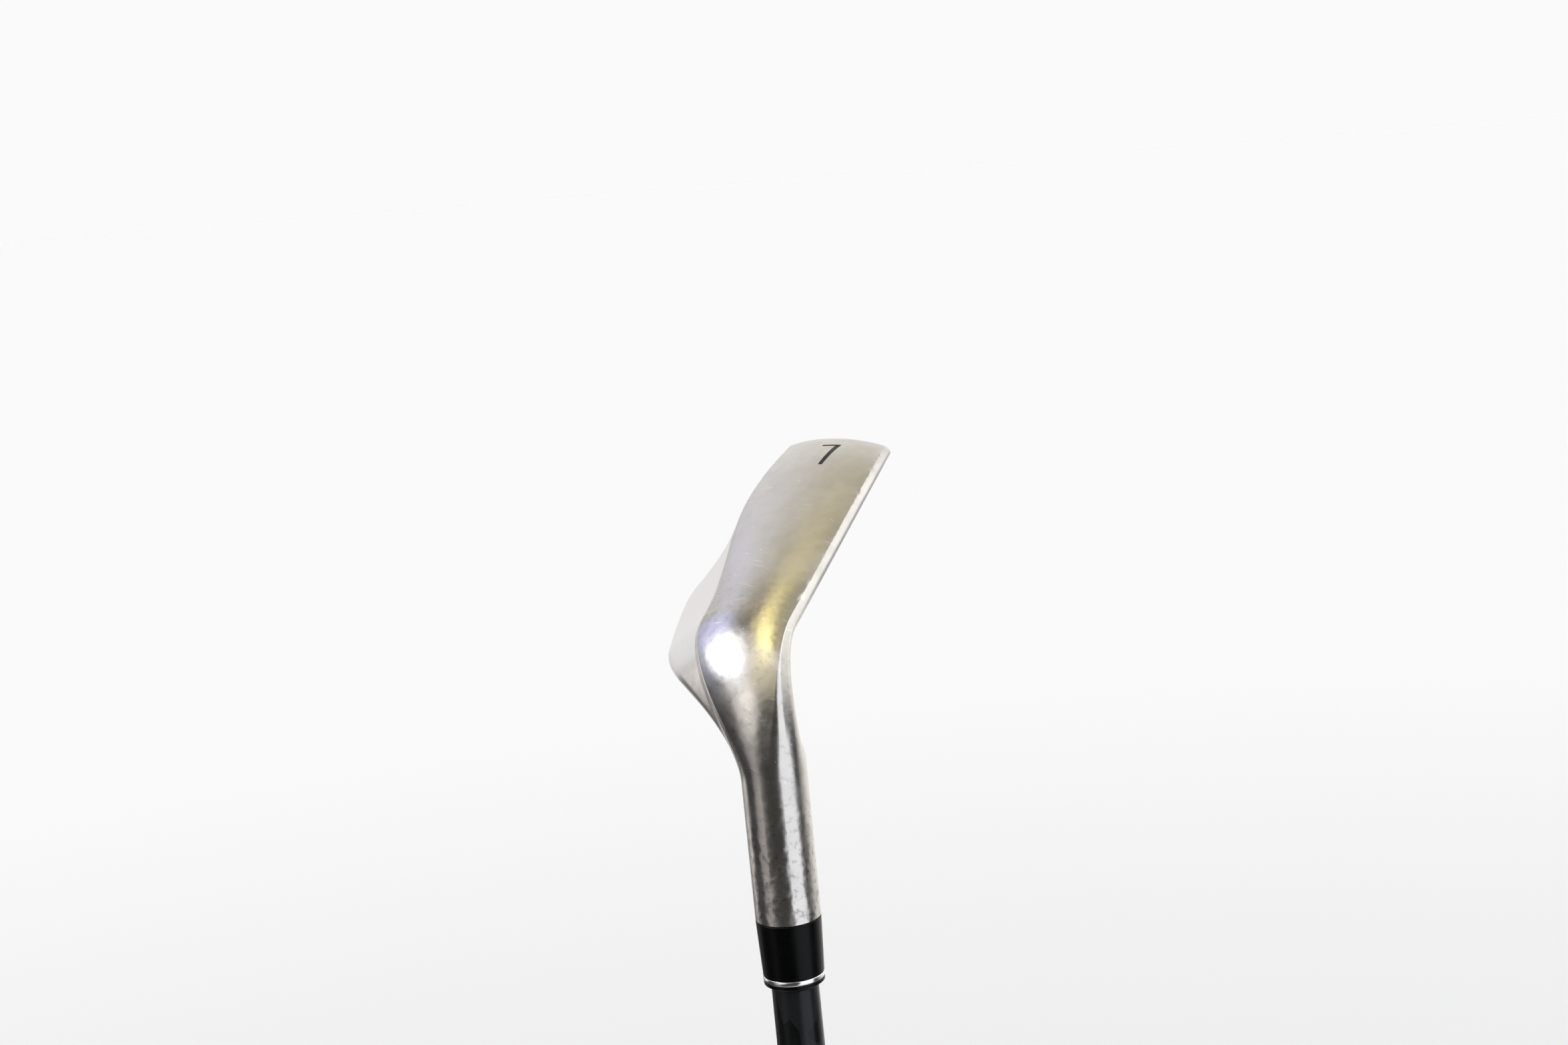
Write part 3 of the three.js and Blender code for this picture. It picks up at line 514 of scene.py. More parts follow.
def wear_edges(rings):
    """Small seeded nicks along the leading edge's lower crease, and a few along the trailing edge."""
    random = np.random.default_rng(NICK_SEED)
    points = np.array(rings[:BLADE_STEPS])
    marks = []
    for corner, count, run, shift, radii, depths in NICKS:
        for _ in range(count):
            x = random.uniform(*run)
            y, z = blade_section(x)[corner]
            y += random.uniform(*shift) if shift else 0
            marks.append(((x, y, z), random.uniform(*radii), random.uniform(*depths)))
    for spot, radius, depth in marks:
        away = points - np.array(spot)
        points[..., 2] += depth * np.exp(-(away ** 2).sum(axis=2) / radius ** 2)
    return list(points) + rings[BLADE_STEPS:]


def mark_rear_wall(mesh, rings):
    """Marks the wall between the back shoulder and the trailing edge, as far as the heel."""
    count = len(rings[0])
    start, end = sum(SECTION_POINTS[:3]), sum(SECTION_POINTS[:4])
    share = np.zeros((len(rings), count))
    share[:BLADE_STEPS, start:end] = 1
    turn = np.arange(1, NECK_STEPS + 1) / NECK_STEPS
    fading = smoothstep((REAR_WALL_END.turn - turn) / REAR_WALL_END.run)
    share[BLADE_STEPS:BLADE_STEPS + NECK_STEPS, start:end] = fading[:, None]
    mark = mesh.attributes.new(REAR_WALL, "FLOAT", "POINT")
    mark.data.foreach_set("value", share.ravel())


def cavity_outline(inset, bottom):
    """Corners of the cavity's opening, in x and z, each with the reach of its rounding."""
    heel, toe, rim = CAVITY.heel + inset, CAVITY.toe - inset, CAVITY.rim + inset
    bend = toe - CAVITY.bend
    return [
        (heel, bottom, CAVITY.shelf_corner),
        (toe, bottom, CAVITY.toe_corner),
        (toe, topline_z(toe) - rim - CAVITY.drop, CAVITY.toe_corner),
        (bend, topline_z(bend) - rim, CAVITY.toe_corner),
        (heel, topline_z(heel) - rim, CAVITY.heel_corner),
    ]


def rounded_outline(corners, steps=10):
    """Points around corners given as x, y and the distance from the corner at which its curve starts."""
    points = []
    for i, (x, y, reach) in enumerate(corners):
        corner = np.array([x, y], float)
        before = corner + unit(np.array(corners[i - 1][:2]) - corner) * reach
        after = corner + unit(np.array(corners[(i + 1) % len(corners)][:2]) - corner) * reach
        for k in range(steps + 1):
            t = k / steps
            points.append(before * (1 - t) ** 2 + corner * 2 * t * (1 - t) + after * t * t)
    return np.array(points)


def shrunk(outline, by):
    """An anticlockwise outline moved inwards."""
    along = np.roll(outline, -1, axis=0) - np.roll(outline, 1, axis=0)
    along /= np.linalg.norm(along, axis=1)[:, None]
    return outline + np.column_stack([-along[:, 1], along[:, 0]]) * by


def pocket_tool():
    """The open pocket behind the face plate, with a fillet where its walls meet the plate."""
    outline = rounded_outline(cavity_outline(0, CAVITY.shelf))
    fillet = CAVITY.fillet
    rings = []
    steps = 6
    for k in range(steps + 1):
        angle = k / steps * math.pi / 2
        flat = shrunk(outline, fillet * (1 - math.sin(angle)))
        depth = PLATE + fillet * (1 - math.cos(angle)) / math.cos(LOFT)
        rings.append(np.array([(x, face_y(z) - depth, z) for x, z in flat]))
    rings.append(np.array([(x, -REACH, z) for x, z in outline]))
    return lofted("pocket_tool", rings[::-1], MATERIALS["cast"])


def channel_tool():
    """The channel inside the sole bar, with walls of one thickness."""
    rings = []
    steps = 40
    for i in range(steps + 1):
        x = mix(CHANNEL.toe, CHANNEL.heel, (1 - math.cos(i / steps * math.pi)) / 2)
        to_end = min(x - CHANNEL.heel, CHANNEL.toe - x) / CHANNEL.end_round
        fullness = math.sqrt(max(0, 1 - (1 - min(1, to_end)) ** 2))
        floor = sole_z(x) + CHANNEL.floor + CHANNEL.end_rise * (1 - fullness)
        opening = smoothstep((x - CHANNEL.opening) / CHANNEL.opening_run)
        top = mix(CHANNEL.heel_top, CAVITY.shelf + 1, opening)
        front_floor, front_top = (face_y(z) - PLATE - CHANNEL.plate_gap for z in (floor, top))
        shoulder = shoulder_z(x)
        shoulder_y = face_y(shoulder) - shoulder_depth(x) + CHANNEL.wall
        foot_y = front_floor - sole_width(x) + CHANNEL.wall + PLATE
        back_y = mix(foot_y, shoulder_y, min(1, (top - floor) / (shoulder - floor)))
        corners = np.array([
            (front_floor, floor),
            (front_top, top),
            (min(front_top - CHANNEL.least_depth, back_y), top),
            (min(front_floor - CHANNEL.least_depth, foot_y), floor),
        ])
        rings.append(at_x(x, rounded_section(corners, CHANNEL.radii, CHANNEL.points)))
    return lofted("channel_tool", rings, MATERIALS["cast"])


UP_FACE = np.array([0, -math.sin(LOFT), math.cos(LOFT)])
INTO_FACE = np.array([0, -math.cos(LOFT), -math.sin(LOFT)])
FACE_ORIGIN = np.array([0, 0, LEADING_EDGE_HEIGHT])


def on_face(x, up, depth):
    """A point given by x, its height up the face and its depth behind the face."""
    return FACE_ORIGIN + np.array([x, 0, 0]) + UP_FACE * up + INTO_FACE * depth


def scoreline_tools():
    """All the scorelines as one object: grooves with sloping sides and round ends."""
    vertices, faces = [], []
    turns = 8
    half = SCORELINE.width / 2
    clearance = SCORELINE.clearance
    # Height above the face and radius of the round ends: clear of the face, at the face, at the floor.
    levels = [(clearance, half + clearance / 2), (0, half),
              (-SCORELINE.depth, half * SCORELINE.floor_share)]
    for i in range(SCORELINE.count):
        up = SCORELINE.first + i * SCORELINE.pitch
        heel = SCORELINE.heel + max(0, i + 1 - SCORELINE.full_length) * SCORELINE.trim
        start = len(vertices)
        for height, radius in levels:
            for middle, first in ((SCORELINE.toe - half, -90), (heel + half, 90)):
                for k in range(turns + 1):
                    angle = first + 180 * k / turns
                    vertices.append(on_face(
                        middle + radius * cosine(angle), up + radius * sine(angle), -height))
        count = 2 * (turns + 1)
        for here in (start, start + count):
            for j, k in zip(range(count), [*range(1, count), 0]):
                faces.append((here + j, here + k, here + count + k, here + count + j))
        faces.append(tuple(reversed(range(start, start + count))))
        faces.append(tuple(range(start + 2 * count, start + 3 * count)))
    return new_object("scoreline_tools", vertices, faces, MATERIALS["groove"])


def number_outline(shrink):
    """The digit on the sole in x and y, with its top towards the toe."""
    top, foot = NUMBER.x - shrink, NUMBER.x - NUMBER.height + shrink
    front, rear = NUMBER.y + NUMBER.width / 2 - shrink, NUMBER.y - NUMBER.width / 2 + shrink
    leg_rear = front - NUMBER.stroke + 2 * shrink
    throat = leg_rear - NUMBER.throat
    slant = NUMBER.lean * NUMBER.height
    bar_foot = top - NUMBER.bar + 2 * shrink
    return np.array([
        (top, rear), (top, front), (top - NUMBER.bar, front), (foot, front - slant),
        (foot, leg_rear - slant), (bar_foot, throat), (bar_foot, rear),
    ])


def make_head():
    rings = wear_edges(head_rings())
    blank = lofted("club_head", rings, MATERIALS["cast_steel"])
    mark_rear_wall(blank.data, rings)
    number_z = sole_z(NUMBER.x)
    ends = number_z - NUMBER.reach, number_z + NUMBER.reach
    engraving = prism("engraving", number_outline(0), *ends, MATERIALS["cast"])
    boolean(engraving, lifted(blank, NUMBER.depth))
    fill = prism("number_fill", number_outline(PAINT.side_gap), *ends)
    boolean(fill, lifted(blank, PAINT.sink), "INTERSECT")
    boolean(fill, lifted(blank, NUMBER.depth - PAINT.floor_gap))
    for tool in (engraving, pocket_tool(), channel_tool(), scoreline_tools()):
        boolean(blank, tool)
    place(into_row(blank), "head_body", "cast_steel")
    fill.data.materials.clear()
    place(into_row(fill), "sole_number_infill", "black_paint", weighted=False)


# ---- badge in the cavity

BADGE_PAD = Sizes(inset=1, thickness=1.1, edge=0.3)
BADGE_PLATE = Sizes(inset=2.4, thickness=0.8, edge=0.22)
BADGE_STRIP = Sizes(heel=30, toe=62, low=25.6, high=28.4, lean=1.5, round=0.6, thickness=0.4, edge=0.1)
FILM_THICKNESS = 0.2  # under the pad
LAYER_GAP = 0.1  # between flat faces that lie against each other


def badge_layer(name, corners, depth, layer):
    """A layer that stands square to the face at this depth behind it, with its edges rounded."""
    up = [(x, (z - LEADING_EDGE_HEIGHT + depth * math.sin(LOFT)) / math.cos(LOFT), reach)
          for x, z, reach in corners]
    made = prism(name, rounded_outline(up), depth, depth + layer.thickness)
    turn = np.column_stack([(1, 0, 0), UP_FACE, INTO_FACE, FACE_ORIGIN])
    made.data.transform(Matrix([*turn.tolist(), (0, 0, 0, 1)]))
    into_row(made)
    bevel = made.modifiers.new("bevel", "BEVEL")
    bevel.width = layer.edge * MM
    bevel.segments = 3
    bevel.limit_method = "ANGLE"
    bevel.angle_limit = math.radians(30)
    bevel.harden_normals = False
    return made


def make_badge():
    strip, lean = BADGE_STRIP, BADGE_STRIP.lean
    bar = [(strip.heel, strip.low, strip.round), (strip.toe, strip.low, strip.round),
           (strip.toe + lean, strip.high, strip.round), (strip.heel + lean, strip.high, strip.round)]
    depth = FACE_THICKNESS + FILM_THICKNESS + 2 * LAYER_GAP
    for name, layer, node, slot in (
            ("damping_pad", BADGE_PAD, "badge_damping_pad", "damping_rubber"),
            ("cavity_badge", BADGE_PLATE, "badge_plate", "badge_metal"),
            ("badge_strip", BADGE_STRIP, "badge_accent_strip", "accent")):
        corners = bar if layer is strip else cavity_outline(layer.inset, CAVITY.shelf + layer.inset)
        place(badge_layer(name, corners, depth, layer), node, slot)
        depth = depth + layer.thickness + LAYER_GAP


# ---- pieces on the shaft axis


def span(node):
    """Lowest and highest z of a CAD node on the axis, and its largest radius, in millimetres."""
    low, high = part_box(node)
    return low.z / MM, high.z / MM, high.x / MM


def turned(name, profile, segments=ROUND_SEGMENTS):
    """A body of revolution. The profile is an anticlockwise list of radius and z, or makes one from
    the angle round the axis."""
    rings = []
    for k in range(segments):
        angle = 2 * math.pi * k / segments
        outline = profile(angle) if callable(profile) else np.array(profile, float)
        rings.append(np.column_stack([
            outline[:, 0] * math.cos(angle), outline[:, 0] * math.sin(angle), outline[:, 1]]))
    made = lofted(name, rings, closed=True)
    return into_row(made, from_address=False)


def arc_points(centre, radius, start, end, steps):
    """Points on an arc in the radius and z plane, with its angles in degrees."""
    angles = [mix(start, end, k / steps) for k in range(steps + 1)]
    return [(centre[0] + radius * cosine(a), centre[1] + radius * sine(a)) for a in angles]


SHAFT = Sizes(tip=4.7, ferrule=4.85, butt=7.6, tip_bore=2.15, butt_bore=6.3)
FERRULE_END = CLUB_LENGTH - 75
SHAFT_PARALLEL_TIP = CLUB_LENGTH - 62
SHAFT_TIP = CLUB_LENGTH - 30.5
BAND_EDGE = 0.06
FERRULE = Sizes(steps=24, bulge=0.15, edge=0.1, crown=0.12)
# The collar's mouth and its rounding, the round of its widest part, how far that lies below the top, and
# the chamfer there.
COLLAR = Sizes(mouth=5.35, foot=0.25, round=0.35, shoulder=0.62, step=0.1, inset=0.08)
SMALL_GAP = 0.03  # between pieces on the same axis


def shaft_radius(z):
    points = [(0, SHAFT.butt), (FERRULE_END, SHAFT.ferrule), (SHAFT_PARALLEL_TIP, SHAFT.tip),
              (SHAFT_TIP, SHAFT.tip)]
    return float(np.interp(z, *zip(*points)))


def on_shaft(name, outer, node, slot):
    """A ring with this outer profile. Its bore is a small gap clear of the shaft."""
    bore = [(shaft_radius(z) + SMALL_GAP, z) for z in (outer[-1][1], outer[0][1])]
    place(turned(name, outer + bore), node, slot)


def make_shaft():
    low, high, _ = span("shaft_tube")
    outer = [low, *np.linspace(low, FERRULE_END, 60)[1:], SHAFT_PARALLEL_TIP, high]
    profile = [(shaft_radius(z), z) for z in outer]
    profile += [(SHAFT.tip_bore, high), (SHAFT.butt_bore, low)]
    place(turned("shaft", profile), "shaft_tube", "composite")
    low, high, radius = span("shaft_band")
    outer = [(radius - BAND_EDGE, low), (radius, low + BAND_EDGE),
             (radius, high - BAND_EDGE), (radius - BAND_EDGE, high)]
    on_shaft("printed_band", outer, "shaft_band", "band_print")


def make_ferrule():
    low, high, radius = span("ferrule_barrel")
    _, _, end_radius = span("ferrule_end_collar")
    outer = []
    for t in np.linspace(0, 1, FERRULE.steps + 1).tolist():
        share = mix(t, math.sin(t * math.pi / 2), FERRULE.bulge)
        outer.append((mix(end_radius, radius, share), mix(low, high, t)))
    edge = FERRULE.edge
    outer = [(end_radius - edge, low), (outer[1][0], low + edge), *outer[1:-1],
             (radius, high - edge), (radius - edge, high)]
    on_shaft("ferrule", outer, "ferrule_barrel", "ferrule_plastic")

    low, high, radius = span("ferrule_trim_ring")
    middle, half, crown = (low + high) / 2, (high - low) / 2, FERRULE.crown
    outer = [(radius - crown + crown * math.cos(a), middle + half * math.sin(a))
             for a in np.linspace(-math.pi / 2, math.pi / 2, 13)]
    on_shaft("ferrule_ring", outer, "ferrule_trim_ring", "trim_metal")

    low, high, radius = span("ferrule_end_collar")
    foot, bend = COLLAR.foot, COLLAR.round
    outer = arc_points((COLLAR.mouth - foot, low + foot), foot, -90, -30, 4)
    outer += arc_points((radius - bend, high - COLLAR.shoulder), bend, -30, 30, 5)
    outer += [(radius, high - COLLAR.step), (radius - COLLAR.inset, high)]
    on_shaft("ferrule_collar", outer, "ferrule_end_collar", "ferrule_plastic")


# ---- grip

GRIP = Sizes(mouth=8.9, butt=12.6, taper_power=1.15, step=0.62, tape_gap=0.38)
LIP = Sizes(height=1.5, start=1.4, inset=0.05, back=0.9, round=0.85)
# The tread's grooves and their fading at a panel's ends, and the plain rings beside the panels.
TREAD = Sizes(starts=26, pitch=5.2, depth=0.42, groove=0.26, fade=1.2)
RINGS = Sizes(away=2, depth=0.3, half_width=0.8)
GRIP_PANELS = [(14, 92), (100, 178), (186, 250)]
CAP = Sizes(round=2.4, rim=0.1, vent=1.5, vent_edge=0.3, floor=6.17, seat=7.98)
CAP_RING = [(5.2, 0), (5.5, 0.25), (6.1, 0.25), (6.4, 0)]


def tread_depth(angle, along):
    """How far the moulded pattern dips at an angle round the grip and a distance from its butt."""
    depth = 0.0
    lean = TREAD.starts * angle / (2 * math.pi)
    climb = along / TREAD.pitch
    for start, end in GRIP_PANELS:
        inside = smoothstep((along - start) / TREAD.fade) * smoothstep((end - along) / TREAD.fade)
        away = [abs(((lean + sign * climb) % 1) - 0.5) for sign in (1, -1)]
        grooves = sum(smoothstep(1 - (1 - 2 * a) / TREAD.groove) for a in away)
        depth += TREAD.depth * inside * np.minimum(1, grooves)
        for ring in (start - RINGS.away, end + RINGS.away):
            depth += RINGS.depth * smoothstep(1 - abs(along - ring) / RINGS.half_width)
    return depth


def make_grip():
    low, high, _ = span("grip_sleeve")
    heights = np.arange(low, high - LIP.height, GRIP.step)
    share = (high - heights) / (high - low)
    radius = mix(GRIP.mouth, GRIP.butt, share ** GRIP.taper_power)
    bore = [(shaft_radius(z) + GRIP.tape_gap, z) for z in (high, low)]
    lip = [(GRIP.mouth - LIP.inset, high - LIP.start)]
    lip += arc_points((GRIP.mouth - LIP.back, high - LIP.back), LIP.round, 10, 80, 5)

    def profile(angle):
        outer = np.column_stack([radius - tread_depth(angle, heights), heights])
        return np.concatenate([outer, lip, bore])

    grip = turned("grip", profile, GRIP_SEGMENTS)
    place(grip, "grip_sleeve", "grip_rubber", sharp=50, weighted=False)

    low, high, radius = span("grip_end_cap")
    bend, vent, floor, seat = CAP.round, CAP.vent, CAP.floor, CAP.seat
    profile = [(vent + CAP.vent_edge, 0), *CAP_RING]
    profile += arc_points((radius - bend, bend), bend, -90, 0, 12)
    profile += [(radius, high - 1.6), (radius - 0.25, high - 1.2), (GRIP.butt + CAP.rim, high - 0.15),
                (GRIP.butt - CAP.rim, high), (seat, high), (seat, floor), (vent, floor),
                (vent, CAP.vent_edge)]
    place(turned("grip_cap", profile), "grip_end_cap", "grip_rubber")


# ---- materials


def steel():
    """Satin sole and face running into a hand-polished neck and hosel."""
    shader = Shader("cast_steel", metallic=1.0, anisotropic=0.45)
    product, fade, blend = shader.product, shader.fade, shader.blend
    rotation = Matrix(ADDRESS_TO_ROW[:3, :3].tolist())
    home = rotation @ -Vector(ADDRESS_TO_ROW[:3, 3])
    address = shader.node("Mapping", {
        "Vector": shader.point, "Rotation": tuple(rotation.to_euler()), "Location": tuple(home),
    }).outputs["Vector"]
    noise = functools.partial(shader.noise, at=address)
    parts = shader.node("SeparateXYZ", {"Vector": address}).outputs
    polish = fade(parts["X"], 26.0, 9.0)
    depth = shader.vector("DOT_PRODUCT", address, tuple(INTO_FACE))
    depth = shader.math("SUBTRACT", depth, float(FACE_ORIGIN @ INTO_FACE))
    on_the_face = product(fade(depth, 0.7, 0.2), fade(parts["X"], 9.0, 15.0))
    rear_wall = shader.node("Attribute", attribute_name=REAR_WALL).outputs["Fac"]
    polish = product(polish, shader.math("SUBTRACT", 1.0, rear_wall))
    hosel = product(polish, fade(parts["Z"], 26.0, 44.0, 0.3, 1.0))
    along = blend(polish, tuple(ADDRESS_TO_ROW[:3, 0]), (0.0, 0.0, 1.0))
    shader.set("Tangent", along)

    tint = noise(16, 3, 0.6)
    patina = noise(3.5, 4, 0.65)
    colour = blend(tint, (0.60, 0.575, 0.54), (0.66, 0.65, 0.63))
    colour = blend(fade(patina, 0.35, 0.75, 0.0, 0.35), colour, (0.50, 0.485, 0.46))
    colour = blend(on_the_face, colour, (0.56, 0.56, 0.565))
    colour = blend(rear_wall, colour, (0.77, 0.765, 0.76))
    stains = fade(noise(1.5, 3, 0.6), 0.52, 0.68)
    stains = product(stains, product(hosel, 0.75))
    colour = blend(stains, colour, (0.24, 0.235, 0.235))
    shader.set("Metallic", fade(rear_wall, 0.0, 1.0, 1.0, 0.2))
    fine = shader.scratches(84, 14.0, 0.6, 3.0, 0.4, 3.0, address)
    short = shader.scratches(68, 8.0, 0.5, 2.0, 0.4, 3.0, address)
    marks = shader.math("MAXIMUM", fine, short)
    marks = product(marks, fade(noise(9, 2, 0.5), 0.35, 0.55))
    colour = blend(product(marks, 0.9), colour, (1.0, 0.98, 0.94))

    grain = shader.noise(0.35, 3, 0.6, at=shader.moved(scale=(1, 0.06, 1), at=address))
    smudge = noise(7, 4, 0.6, 0.6)
    rough = fade(polish, 0.0, 1.0, 0.36, 0.23)
    for more in (product(rear_wall, 0.22), fade(smudge, 0.3, 0.7, -0.04, 0.05),
                 product(on_the_face, 0.14), product(grain, 0.05)):
        rough = shader.math("ADD", rough, more)

    dents = product(noise(2.4, 1, 0.5), hosel)
    brushed = product(grain, fade(polish, 0.0, 1.0, 1.0, 0.2))
    pits = fade(shader.cells(1.7, address)[0], 0.0, 0.09)
    pits = shader.math("MAXIMUM", pits, fade(noise(5, 1), 0.62, 0.56))
    relief = None
    for pattern, height in ((dents, 0.15), (brushed, 0.0035), (marks, 0.012), (pits, 0.03)):
        relief = shader.bump(pattern, height, relief)
    return shader.finished(colour, rough, relief)


def patterned(name, noise, colours, roughness, relief, moved=None, **sockets):
    """A material whose colour, roughness and relief all follow one soft random pattern."""
    shader = Shader(name, **sockets)
    pattern = shader.noise(*noise, at=shader.moved(**moved) if moved else None)
    return shader.finished(shader.blend(pattern, *colours), shader.fade(pattern, 0.3, 0.7, *roughness),
                           shader.bump(pattern, relief))


def cast_metal():
    """The unpolished inside of the cavity and of the engraving."""
    shader = Shader("cast_surface", metallic=1.0)
    skin = shader.noise(0.45, 3, 0.7)
    cloud = shader.noise(6, 3, 0.6)
    return shader.finished(shader.blend(cloud, (0.36, 0.36, 0.365), (0.46, 0.455, 0.45)),
                           shader.fade(skin, 0.3, 0.7, 0.42, 0.6), shader.bump(skin, 0.03))


def groove_metal():
    """The scorelines, darker than the face all over, with a soft random mottle."""
    shader = Shader("groove_metal", metallic=1.0)
    mottle = shader.noise(1.5, 4, 0.7)
    return shader.finished(shader.blend(mottle, (0.16, 0.155, 0.15), (0.34, 0.335, 0.33)),
                           shader.fade(mottle, 0.2, 0.8, 0.35, 0.6), shader.bump(shader.noise(0.3, 2), 0.01))


def gloss_black(name, colour, pattern=None, roughness=(0.07, 0.16), coat=0.6, specular=0.5):
    """Polished black plastic or lacquer with a faint soft relief and dust."""
    shader = Shader(name, coat_weight=coat, coat_roughness=0.04, specular_ior_level=specular)
    dust = shader.noise(2.5, 4, 0.65)
    tone = shader.blend(shader.fade(dust, 0.5, 0.8), colour, tuple(c * 1.8 + 0.001 for c in colour))
    if pattern:
        tone = pattern(shader, tone)
    relief = shader.bump(shader.noise(5, 2), 0.006)
    return shader.finished(tone, shader.fade(dust, 0.3, 0.7, *roughness), relief)


def shaft_shapes(shader, tone):
    """Faint tone-on-tone facets on the shaft."""
    _, colour = shader.cells(8.5, shader.moved(scale=(1, 1, 0.55), rotation=(0, 0, 25)))
    soft = shader.fade(shader.red(colour), 0.55, 0.62)
    return shader.blend(shader.product(soft, 0.8), tone, (0.013, 0.014, 0.016))


def band_print():
    """Printed foil with plain stripes round the shaft."""
    shader = Shader("band_print", coat_weight=0.8, coat_roughness=0.06)
    height = shader.node("SeparateXYZ", {"Vector": shader.point}).outputs["Z"]
    stripe = shader.math("PINGPONG", height, 4.0)
    fleck = shader.noise(0.5, 2)
    tone = shader.blend(shader.fade(stripe, 1.8, 2.0), (0.16, 0.17, 0.19), (0.30, 0.31, 0.33))
    tone = shader.blend(shader.fade(fleck, 0.4, 0.7, 0, 0.3), tone, (0.42, 0.43, 0.45))
    return shader.finished(tone, shader.fade(fleck, 0.3, 0.7, 0.2, 0.3), shader.bump(fleck, 0.004))


def rubber(name, colour, grain=0.5, height=0.05):
    shader = Shader(name, sheen_weight=0.15)
    skin = shader.noise(grain, 3, 0.65)
    worn = shader.noise(18, 3, 0.6)
    pale = tuple(c * 1.9 + 0.004 for c in colour)
    return shader.finished(shader.blend(shader.fade(worn, 0.35, 0.8), colour, pale),
                           shader.fade(worn, 0.3, 0.7, 0.86, 0.66), shader.bump(skin, height))


# By slot, with two more for the surfaces that the cuts leave in the head.
MATERIALS = {
    "cast_steel": steel(),
    "cast": cast_metal(),
    "groove": groove_metal(),
    "black_paint": patterned(
        "number_paint", (0.8, 3, 0.6), ((0.006, 0.005, 0.004), (0.018, 0.016, 0.013)),
        (0.35, 0.55), 0.02, specular_ior_level=0.2),
    "badge_metal": patterned(
        "badge_metal", (0.3, 3, 0.6), ((0.44, 0.45, 0.47), (0.60, 0.61, 0.63)),
        (0.24, 0.38), 0.008, {"scale": (0.03, 1, 1), "rotation": (0, 26, 0)}, metallic=1.0),
    "accent": gloss_black("accent_gloss", (0.010, 0.010, 0.014)),
    "damping_rubber": rubber("damping_rubber", (0.020, 0.020, 0.022), 0.7, 0.04),
    "composite": gloss_black("black_composite", (0.004, 0.0045, 0.005), shaft_shapes, (0.2, 0.3), 0.0, 0.2),
    "band_print": band_print(),
    "ferrule_plastic": gloss_black(
        "ferrule_plastic", (0.001, 0.0012, 0.0015), None, (0.26, 0.34), 0.0, 0.13),
    "trim_metal": patterned(
        "trim_metal", (0.25, 3, 0.6), ((0.80, 0.80, 0.82), (0.90, 0.90, 0.91)),
        (0.12, 0.24), 0.003, {"scale": (0.1, 0.1, 4)}, metallic=1.0),
    "grip_rubber": rubber("grip_rubber", (0.014, 0.014, 0.015)),
    "adhesive": patterned(
        "cured_adhesive", (1.5, 4, 0.6), ((0.60, 0.54, 0.36), (0.76, 0.72, 0.55)),
        (0.45, 0.65), 0.05),
    "brass": patterned(
        "turned_brass", (0.2, 3, 0.6), ((0.62, 0.43, 0.17), (0.76, 0.58, 0.30)),
        (0.25, 0.4), 0.01, {"scale": (0.1, 0.1, 3)}, metallic=1.0),
    "tape": patterned(
        "paper_tape", (0.6, 3, 0.6), ((0.66, 0.60, 0.42), (0.78, 0.73, 0.56)),
        (0.75, 0.9), 0.06, {"scale": (1, 1, 5)}),
}
# CAD nodes whose shape stays as it is.
KEPT_NODES = {"badge_adhesive_film": "adhesive", "hosel_epoxy_sleeve": "adhesive",
              "tip_weight_plug": "brass", "grip_tape": "tape"}

# ---- studio

CAMERA = Sizes(azimuth=-62.84, elevation=10.10, roll=-5.57, distance=0.4829, lens=53.49)
AIM_IN_HEAD = Vector((0.332, 0.278, 0.881))


def direction(azimuth, elevation):
    """From the object outwards. Azimuth 0 is on the -Y side and 90 on the +X side."""
    level = cosine(elevation)
    return Vector((sine(azimuth) * level, -cosine(azimuth) * level, sine(elevation)))


def make_camera():
    out = direction(CAMERA.azimuth, CAMERA.elevation)
    right = Vector((0, 0, 1)).cross(out).normalized()
    up = out.cross(right)
    turned_right = right * cosine(CAMERA.roll) + up * sine(CAMERA.roll)
    turned_up = up * cosine(CAMERA.roll) - right * sine(CAMERA.roll)
    low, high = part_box("head_body")
    aim = Vector(low[i] + (high[i] - low[i]) * AIM_IN_HEAD[i] for i in range(3))
    data = bpy.data.cameras.new("camera")
    data.lens = CAMERA.lens
    data.sensor_width = 36
    data.clip_start = 0.01
    data.clip_end = 100
    camera = bpy.data.objects.new("camera", data)
    axes = Matrix((turned_right, turned_up, out)).transposed().to_4x4()
    camera.matrix_world = Matrix.Translation(aim + out * CAMERA.distance) @ axes
    bpy.context.scene.collection.objects.link(camera)
    bpy.context.scene.camera = camera


